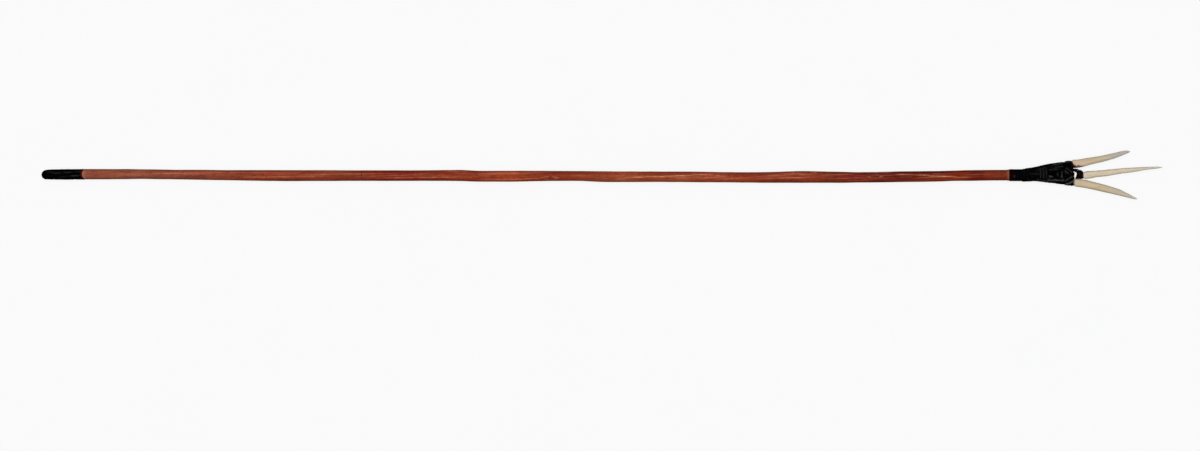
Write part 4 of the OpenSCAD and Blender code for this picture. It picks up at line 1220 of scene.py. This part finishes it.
def make_hitch():
    b = Build()
    # pitch under the two turns
    a = np.linspace(0, TAU, 121)
    P, N = neck_ring(np.full(121, 510.5), a, NECK_R + 0.30)
    P[:, 1] = NECK_Y + 1.035 * (P[:, 1] - NECK_Y)
    b.tube(sweep(P, N, 1.75, 0.50, 12, 0.0, 3.0, 0.0, 0.2, 3.0), thin=0.0, rub=0.0)
    for i, (xc, lean) in enumerate(((509.4, 0.35), (511.5, -0.25))):
        t = np.linspace(0, TAU * 1.06, 136)
        a = t + math.radians(-100 + 150 * i)
        x = xc + lean * np.sin(a + 0.5) + 0.12 * noise1(t * 3, 86 + i)
        tucked = 1.3 * (1 - ramp(t, 0, 0.19)) + 1.3 * ramp(t, 1.06 * TAU - 0.19, 1.06 * TAU)
        P, N = neck_ring(x, a, NECK_R + 0.74 + 0.05 * noise1(t * 2, 88 + i) - tucked)
        P[:, 1] = NECK_Y + 1.035 * (P[:, 1] - NECK_Y)
        b.tube(sweep(P, N, 1.02, 0.62, 12, 0.08, 3.0, i, 0.8), thin=0.0, rub=0.02)
    # the knot on the lower edge: a small overhand knot pulled tight, and its cut end
    t = np.linspace(0, TAU, 110)
    kx = np.sin(t) + 2 * np.sin(2 * t)
    ky = np.cos(t) - 2 * np.cos(2 * t)
    kz = -np.sin(3 * t)
    c = np.array([510.4, NECK_Y - NECK_R - 0.95, HEAD_Z + 1.6])
    P = np.stack([c[0] + 0.46 * kx, c[1] - 0.30 * kz, c[2] + 0.46 * ky], -1)
    N = unit(P - c)
    P[:, 1] += 0.1
    b.tube(sweep(P, N, 0.50, 0.46, 10, 0.08, 2.0, 0.0, 0.5), thin=0.0, rub=0.03)
    tail = smooth_path([[511.2, c[1] + 0.1, c[2] - 0.4], [512.6, c[1] - 0.05, c[2] - 1.2],
                        [514.2, c[1] + 0.15, c[2] - 1.6], [515.6, c[1] + 0.35, c[2] - 1.4]], 10)
    b.tube(sweep(tail, np.tile([0.0, -1.0, 0.0], (len(tail), 1)), 0.48, 0.42, 10, 0.08, 2.0, 1.0, 0.4),
           thin=0.0, rub=0.03)
    return b.make("neck_hitch_cord", M_CORD, "pitched_cord", ["neck_hitch"])


make_whipping()
make_hitch()


# ------------------------------------------------------------------ prongs

# Where pitch is smeared on the upper prong, seen from above: [u, y, u, y, half width, strength]
SMEAR = [[0.8, 8.9, 3.6, 9.7, 1.0, 1.0], [3.4, 9.8, 5.1, 11.4, 0.85, 1.0], [5.1, 11.3, 7.4, 10.5, 0.7, 0.55],
         [4.2, 9.6, 10.6, 9.9, 0.95, 0.72]]
# [u, side position, width, depth, height offset, squareness]
UPPER = [
    [-53, 5.2, 0.9, 5.0, 0, 3.4], [-40, 7.5, 3.6, 6.8, 0, 3.6], [-20, 9.9, 5.6, 6.8, 0, 3.6],
    [-4, 11.4, 6.4, 6.8, 0, 3.2], [-1.9, 11.9, 7.0, 6.9, 0, 3.0], [-0.9, 12.75, 8.8, 7.1, 0, 2.6], [0.1, 13.1, 9.9, 7.4, 0, 2.4],
    [4, 13.5, 10.0, 7.5, 0, 2.3], [12, 14.98, 10.02, 7.6, 0.1, 2.3], [20, 16.76, 8.85, 7.4, 0.2, 2.3], [27, 18.15, 8.35, 7.1, 0.35, 2.3],
    [34, 19.54, 7.95, 6.8, 0.5, 2.3], [41, 21.33, 7.45, 6.4, 0.6, 2.3], [49, 23.42, 6.65, 5.8, 0.8, 2.3],
    [56, 25.51, 5.65, 4.9, 1.0, 2.25], [60.5, 26.8, 4.7, 4.1, 1.15, 2.2], [64, 27.65, 3.4, 3.1, 1.25, 2.1],
    [66.0, 28.0, 2.3, 2.1, 1.3, 2.0], [67.2, 28.15, 1.3, 1.3, 1.3, 2.0], [67.9, 28.2, 0.6, 0.6, 1.3, 2.0]]
LOWER = [
    [-53, -5.2, 0.7, 5.0, 0, 3.4], [-40, -5.7, 1.3, 6.8, 0, 3.4], [-20, -7.0, 3.6, 6.8, 0, 3.6],
    [-4, -8.0, 5.8, 6.8, 0, 3.2], [-1.4, -8.2, 6.6, 6.9, 0, 3.0], [-0.4, -8.75, 7.9, 7.0, 0, 2.6], [0.6, -9.17, 8.66, 7.2, 0, 2.4],
    [6, -9.92, 9.56, 7.4, 0, 2.3], [12.5, -10.73, 10.04, 7.6, 0, 2.3], [20, -12.34, 9.45, 7.5, -0.1, 2.3], [27, -13.95, 9.35, 7.3, -0.2, 2.3],
    [34, -15.65, 9.15, 7.0, -0.3, 2.3], [42, -17.66, 8.65, 6.6, -0.4, 2.3], [49, -19.67, 8.15, 6.2, -0.5, 2.3], [56, -21.67, 7.25, 5.4, -0.6, 2.25],
    [63, -24.3, 5.4, 4.4, -0.7, 2.2], [68, -26.2, 4.05, 3.5, -0.75, 2.1], [72, -27.85, 2.75, 2.6, -0.8, 2.0], [74.2, -28.49, 2.05, 1.9, -0.8, 2.0],
    [75.7, -28.95, 1.2, 1.1, -0.8, 2.0], [76.3, -29.1, 0.6, 0.6, -0.8, 2.0]]
MIDDLE = [
    [-38, 5.3, 0.8, 4.4, 0, 3.4], [-20, 5.2, 3.0, 5.0, 0, 3.4], [-4, 5.5, 2.6, 5.0, 0, 3.0], [0, 5.75, 2.2, 5.0, 0, 2.8],
    [2, 5.55, 2.2, 5.0, 0, 2.8], [3.4, 4.6, 2.9, 5.2, 0, 2.8], [4.8, 2.9, 4.0, 5.4, 0, 2.8], [6.2, 1.2, 5.4, 5.8, 0, 2.6],
    [8, 0.0, 6.2, 6.0, 0, 2.6], [10.6, -0.35, 6.2, 6.2, 0, 2.5],
    [11.6, -0.4, 7.2, 6.6, 0, 2.4], [12.6, -0.4, 8.5, 7.1, 0, 2.35], [14.4, -0.25, 9.1, 7.3, 0, 2.3],
    [20, 0.3, 8.85, 7.4, 0, 2.3], [27, 1.2, 7.75, 7.2, 0, 2.3], [34, 1.7, 7.5, 6.9, 0.1, 2.3],
    [42, 2.6, 7.44, 6.6, 0.2, 2.3], [49, 3.6, 6.85, 6.2, 0.3, 2.3], [56, 4.6, 6.25, 5.8, 0.4, 2.3], [63, 5.3, 5.95, 5.4, 0.45, 2.3],
    [70, 5.9, 5.4, 5.0, 0.5, 2.3], [78, 6.8, 4.65, 4.5, 0.55, 2.3], [85, 7.65, 3.75, 3.8, 0.6, 2.3], [92, 8.2, 3.05, 3.2, 0.65, 2.25],
    [99.5, 8.7, 2.35, 2.4, 0.7, 2.15], [103.5, 8.95, 1.6, 1.6, 0.7, 2.0], [106, 9.1, 0.9, 0.9, 0.7, 2.0],
    [107, 9.2, 0.5, 0.5, 0.7, 2.0]]


def make_prong(name, rows, node, seed, pink=0.0, smear=0.0, root=1.0, shear=0.0, light=0.0, dull=0.0, stained=1.0,
               bleached=0.0):
    n = 56
    u0, u1 = rows[0][0], rows[-1][0]
    us = np.concatenate([np.arange(u0, -3, 2.5), np.arange(-3, root + 3, 0.4), np.arange(root + 3, u1 - 6, 0.9),
                         np.arange(u1 - 6, u1 - 1.2, 0.4), np.linspace(u1 - 1.2, u1, 7)])
    us = np.unique(np.round(us, 3))
    y, w, d, zo, e = table(rows, us).T
    # a point that closes round
    close = np.sqrt(np.clip((u1 - us) / 1.1, 0.0, 1.0))
    w, d = np.maximum(w, 0.5) * np.maximum(close, 0.12), np.maximum(d, 0.5) * np.maximum(close, 0.12)
    a = TAU * np.arange(n) / n  # from +Y over the top
    U = us[:, None]
    out = ramp(us, root - 1, root + 3)[:, None]
    bulk = np.clip(w / 6.0, 0.12, 1)[:, None]
    # scraped flats, long hollows and fine grooves
    rng = np.random.default_rng(seed)
    twist = rng.uniform(-0.004, 0.004)
    facet = np.abs(np.sin(3.0 * (a[None] + twist * U) + 0.5 * noise2(U / 40, a[None] * 3 / TAU, seed, 3) + rng.uniform(0, 3)))
    disp = 0.22 * (facet - 0.64) * (0.8 + 0.5 * noise2(U / 25, a[None] * 4 / TAU, seed + 1, 4))
    disp = disp + 0.12 * noise2(U / 16, a[None] * 6 / TAU, seed + 2, 6) + 0.05 * noise2(U / 6, a[None] * 12 / TAU, seed + 3, 12)
    disp = disp + 0.018 * noise2(U / 9, a[None] * 40 / TAU, seed + 4, 40)
    groove = np.zeros(disp.shape)
    deg = np.degrees(a)[None]
    for i in range(15):
        g0 = rng.uniform(root + 2, u1 - 26)
        g1 = g0 + rng.uniform(12, 42)
        th, sl = rng.uniform(0, 360), rng.uniform(-0.3, 0.3)
        f = np.clip((us - g0) / (g1 - g0), 0, 1)
        line = th + sl * (us - g0) + 4 * noise1(us / 12, seed + 20 + i)
        dd = np.radians((deg - line[:, None] + 180) % 360 - 180) * (w / 2)[:, None]
        s = np.exp(-(dd / 0.30) ** 2) * (np.clip(4 * f * (1 - f), 0, 1) ** 0.7)[:, None]
        depth = rng.uniform(0.04, 0.11)
        disp = disp - depth * s
        groove = np.maximum(groove, depth * 7 * s)
    # the hollow of the splinter's marrow side, on the underside
    under = np.exp(-(((deg - 270 + 180) % 360 - 180) / 26) ** 2)
    disp = disp - 0.55 * under * (ramp(us, root + 5, root + 14) * (1 - ramp(us, u1 - 34, u1 - 16)))[:, None]
    disp = disp * out * bulk
    c, s = np.cos(a)[None], np.sin(a)[None]
    p = (2 / e)[:, None]
    yy = (w / 2)[:, None] * np.sign(c) * np.abs(c) ** p
    zz = (d / 2)[:, None] * np.sign(s) * np.abs(s) ** p
    N = unit(np.stack([yy / np.maximum(w, 0.4)[:, None] ** 2, zz / np.maximum(d, 0.4)[:, None] ** 2], -1))
    yy, zz = yy + N[..., 0] * disp, zz + N[..., 1] * disp
    P = np.stack([np.broadcast_to(X_MOUTH + U, yy.shape), HEAD_Y + y[:, None] + yy,
                  HEAD_Z + zo[:, None] + zz], -1)
    if shear:
        back = np.clip((P[..., 1] - HEAD_Y - 10.2) / 6.0, 0, 1.25) * ramp(us, -6, -1)[:, None] * (1 - ramp(us, 0.5, 9))[:, None]
        P[..., 0] -= shear * back
    P[..., 0] = np.minimum(P[..., 0], 677.95)
    tip = ramp(us, u1 - 48, u1 - 6)[:, None] * np.clip(0.85 + 0.4 * noise2(U / 9, a[None] * 5 / TAU, seed + 9, 5), 0, 1)
    pinkish = pink * (1 - ramp(us, 8, 24))[:, None] * np.ones((1, n))
    rag = noise2(U / 2, a[None] * 10 / TAU, seed + 10, 10)
    edge = np.full(P.shape[:2], root - 0.5)
    if smear:  # pitch has run slantwise over this prong's root, and is smeared along its inner edge
        edge = np.interp(P[..., 1] - HEAD_Y, [8.6, 11.4, 16.4], [1.7, 0.7, -2.6]) + 0.25 * rag
    pitched = 1 - ramp(U - edge, -0.7, 0.7)
    stain = stained * (1 - ramp(U - edge, 0.5, 2.1)) * np.clip(0.9 + 0.5 * rag, 0, 1)
    soot = np.zeros(P.shape[:2])
    if smear:
        t = np.sign(c) * np.abs(c) ** p
        low = np.exp(-(np.abs(t - np.interp(us, [1, 5, 13], [-0.78, -0.76, -0.86])[:, None]) / 0.25) ** 3) * (s > -0.6)
        along = np.interp(us, [0.0, 1.0, 4.5, 6.5, 9.0, 11.5, 14.0], [1.0, 1.0, 0.95, 0.72, 0.42, 0.28, 0.0])[:, None]
        ragged = np.clip(1.0 + 0.55 * noise2(U / 1.8, a[None] * 16 / TAU, seed + 11, 16), 0, 1)
        stain = np.maximum(stain, smear * low * along * ragged)
        soot = strokes(SMEAR, P[..., 0] - X_MOUTH, P[..., 1] - HEAD_Y) * (s > -0.1) * np.clip(0.85 + 0.5 * rag, 0, 1)
    b = Build()
    pale = bleached * (1 - ramp(U, root + 2.5, root + 8.0)) * np.clip(0.75 + 0.6 * rag, 0, 1)
    b.tube(P, light=light, pitched=pitched, tip=tip, dull=dull * tip, pink=pinkish, stain=np.clip(stain, 0, 1),
           groove=np.clip(groove, 0, 1), soot=np.clip(soot, 0, 1), bleached=pale)
    return b.make(name, M_BONE, "bone", [node])


make_prong("upper_prong", UPPER, "prong_upper", 701, pink=1.0, smear=1.0, root=-0.6, shear=1.35, dull=0.5)
make_prong("lower_prong", LOWER, "prong_lower", 733, root=0.2, stained=0.6, bleached=0.5)
make_prong("middle_prong", MIDDLE, "prong_middle", 767, root=10.7, light=0.75, stained=0.3, bleached=0.8)


# ------------------------------------------------------------------ binding of the middle prong

def make_middle_binding():
    b = Build()
    # pitch under the turns, round the prong's waist
    n = 48
    a = TAU * np.arange(n) / n
    rows = [[4.0, 0.7, 6.4, 5.6], [5.0, 0.45, 9.2, 6.6], [6.4, 0.30, 10.3, 7.2], [8.5, 0.05, 9.9, 7.3],
            [10.4, -0.15, 8.5, 7.1], [11.2, -0.25, 7.3, 6.7]]
    us = np.linspace(4.0, 11.2, 24)
    y, w, d = table(rows, us).T
    sq = lambda v: np.sign(v) * np.abs(v) ** (2 / 2.6)
    lean = 0.24 * (1 - ramp(us, 4, 10))[:, None] * sq(np.cos(a))[None] * (w / 2)[:, None]
    P = np.stack([us[:, None] + lean, y[:, None] + (w / 2)[:, None] * sq(np.cos(a))[None],
                  (d / 2)[:, None] * sq(np.sin(a))[None]], -1) + OFF
    P[..., 1:] += (0.12 * noise2(us[:, None] / 1.6, a[None] * 9 / TAU, 811, 9))[..., None] * \
        np.stack([np.cos(a), np.sin(a)], -1)[None]
    b.tube(P, thin=0.15, rub=0.0)
    # turns round the waist; the first lean along the gap, the last stand straight
    rows = [[2.0, 0.2, 5.4, 3.7], [3.6, 0.4, 5.62, 3.85], [5.6, 0.48, 5.78, 3.95], [8.3, 0.2, 5.42, 4.0],
            [10.2, 0.0, 4.55, 3.85], [11.2, 0.0, 4.1, 3.7]]
    for i, u0 in enumerate((3.8, 5.0, 6.4, 7.8, 9.15, 10.2)):
        ang = np.linspace(0, TAU * 1.02, 110) + 2.2 + 0.8 * i
        yy, rw, rd = table(rows, np.full(1, u0))[0]
        cc, ss = np.cos(ang), np.sin(ang)
        lean = (1.95, 1.25, 0.75, 0.30, 0.05, 0.0)[i]
        u = u0 + lean * cc + 0.20 * np.sin(ang + i) + 0.10 * noise1(ang * 2.2, 820 + i)
        e = 2 / 2.7
        Pc = np.stack([u, yy + (rw - 0.45) * np.sign(cc) * np.abs(cc) ** e,
                       (rd - 0.40) * np.sign(ss) * np.abs(ss) ** e], -1) + OFF
        Nc = unit(np.stack([0 * u, cc / rw, ss / rd], -1))
        cord(b, Pc, Nc, 0.78, 0.44, 820 + i, thin=0.16 + 0.3 * ramp(u, 8.5, 11), rub=0.20, slant=False, wobble=0.6)
    # cords that tie it back to the mouth, over the crank
    for i, (z0, y0, y1) in enumerate(((2.7, 6.7, 5.4), (0.95, 7.0, 5.7), (-0.95, 6.9, 5.6), (-2.7, 6.6, 5.3))):
        pts = [[-2.6, y0 - 0.4, z0 * 1.05], [0.2, y0, z0], [2.7, y0, z0], [4.6, y0 - 0.5, z0 * 1.05], [6.6, y1 - 0.8, z0 * 1.15]]
        path = smooth_path(pts, 10) + OFF
        Nc = np.tile(unit(np.array([0.15, 1.0, z0 * 0.25])), (len(path), 1))
        cord(b, path, Nc, 0.86, 0.50, 840 + i, thin=0.25, rub=0.25, slant=False, wobble=0.6)
    for i, (z0, y0) in enumerate(((2.3, 4.75), (0.0, 4.6), (-2.3, 4.75))):
        pts = [[-2.2, y0 + 0.1, z0], [0.3, y0, z0], [1.7, y0 - 0.45, z0], [2.9, y0 - 1.7, z0], [3.9, y0 - 3.4, z0], [4.5, y0 - 5.2, z0]]
        path = smooth_path(pts, 10) + OFF
        Nc = np.tile(unit(np.array([-0.8, -1.0, z0 * 0.2])), (len(path), 1))
        cord(b, path, Nc, 1.0, 0.45, 850 + i, thin=0.15, rub=0.2, slant=False, wobble=0.6)
    # two turns round the crank between the mouth and the waist
    for i, (u0, yc, ry) in enumerate(((0.85, 5.75, 1.55), (2.35, 5.35, 1.75))):
        ang = np.linspace(0, TAU * 1.02, 80) + 0.4 + i
        cc, ss = np.cos(ang), np.sin(ang)
        Pc = np.stack([u0 + (0.15 + 0.55 * i) * cc + 0.08 * noise1(ang * 2, 850 + i),
                       yc + ry * np.sign(cc) * np.abs(cc) ** 0.75, 3.25 * np.sign(ss) * np.abs(ss) ** 0.75], -1) + OFF
        Nc = unit(np.stack([0 * ang, cc / 2.1, ss / 3.2], -1))
        cord(b, Pc, Nc, 0.72, 0.42, 860 + i, thin=0.2, rub=0.30, slant=False, wobble=0.6)
    return b.make("middle_prong_turns", M_CORD, "pitched_cord", ["middle_prong_binding"])


make_middle_binding()


# ------------------------------------------------------------------ stage, light, camera

def make_stage():
    me = bpy.data.meshes.new("floor")
    bm = bmesh.new()
    bmesh.ops.create_circle(bm, cap_ends=True, segments=96, radius=30.0)
    bm.to_mesh(me)
    bm.free()
    floor = bpy.data.objects.new("floor", me)
    floor.location.z = -0.0002
    bpy.context.scene.collection.objects.link(floor)
    m = Tree("floor_white")
    p = m.place()
    n = m.noise(p, 6.0, 2)
    m.finish(m.mix(m.span(n, 0.3, 0.7), (0.098, 0.100, 0.100), (0.102, 0.102, 0.102)), 0.9, None, 0.0)
    m.bsdf.inputs["Emission Color"].default_value = (1, 1, 1, 1)
    m.bsdf.inputs["Emission Strength"].default_value = 0.848
    me.materials.append(m.mat)
    floor.visible_diffuse = floor.visible_glossy = False  # its white doesn't wash out the sides

    def sun(name, energy, angle, tilt_x, tilt_y, glossy):
        light = bpy.data.lights.new(name, "SUN")
        light.energy = energy
        light.angle = math.radians(angle)
        ob = bpy.data.objects.new(name, light)
        ob.rotation_euler = (math.radians(tilt_x), math.radians(tilt_y), 0)
        ob.visible_glossy = glossy
        bpy.context.scene.collection.objects.link(ob)

    # a broad overhead light for the tones, and two weak oblique ones that give the sheen
    sun("overhead", 2.80, 50, -3, 0, False)
    sun("sheen_far", 0.22, 16, -50, -14, True)
    sun("sheen_near", 0.12, 14, 36, 10, True)

    world = bpy.data.worlds.new("studio")
    bpy.context.scene.world = world
    world.use_nodes = True
    nt = world.node_tree
    nt.nodes.clear()
    out = nt.nodes.new("ShaderNodeOutputWorld")
    seen = nt.nodes.new("ShaderNodeBackground")
    seen.inputs[0].default_value = (0.955, 0.957, 0.957, 1)
    lit = nt.nodes.new("ShaderNodeBackground")
    lit.inputs[0].default_value = (0.96, 0.98, 1.0, 1)
    lit.inputs[1].default_value = 0.13
    mirrored = nt.nodes.new("ShaderNodeBackground")
    mirrored.inputs[0].default_value = (0.96, 0.98, 1.0, 1)
    mirrored.inputs[1].default_value = 0.022
    path = nt.nodes.new("ShaderNodeLightPath")
    first = nt.nodes.new("ShaderNodeMixShader")
    nt.links.new(path.outputs["Is Glossy Ray"], first.inputs[0])
    nt.links.new(lit.outputs[0], first.inputs[1])
    nt.links.new(mirrored.outputs[0], first.inputs[2])
    mix = nt.nodes.new("ShaderNodeMixShader")
    nt.links.new(path.outputs["Is Camera Ray"], mix.inputs[0])
    nt.links.new(first.outputs[0], mix.inputs[1])
    nt.links.new(seen.outputs[0], mix.inputs[2])
    nt.links.new(mix.outputs[0], out.inputs["Surface"])

    cam = bpy.data.cameras.new("camera")
    cam.type = "ORTHO"
    cam.ortho_scale = 1.452
    cam.clip_start, cam.clip_end = 0.05, 60
    co = bpy.data.objects.new("camera", cam)
    co.location = (-0.00272, -0.06103, 3.0)
    bpy.context.scene.collection.objects.link(co)
    bpy.context.scene.camera = co
    bpy.context.scene.view_settings.view_transform = "Standard"
    bpy.context.scene.view_settings.look = "None"


make_stage()

bpy.context.view_layer.update()
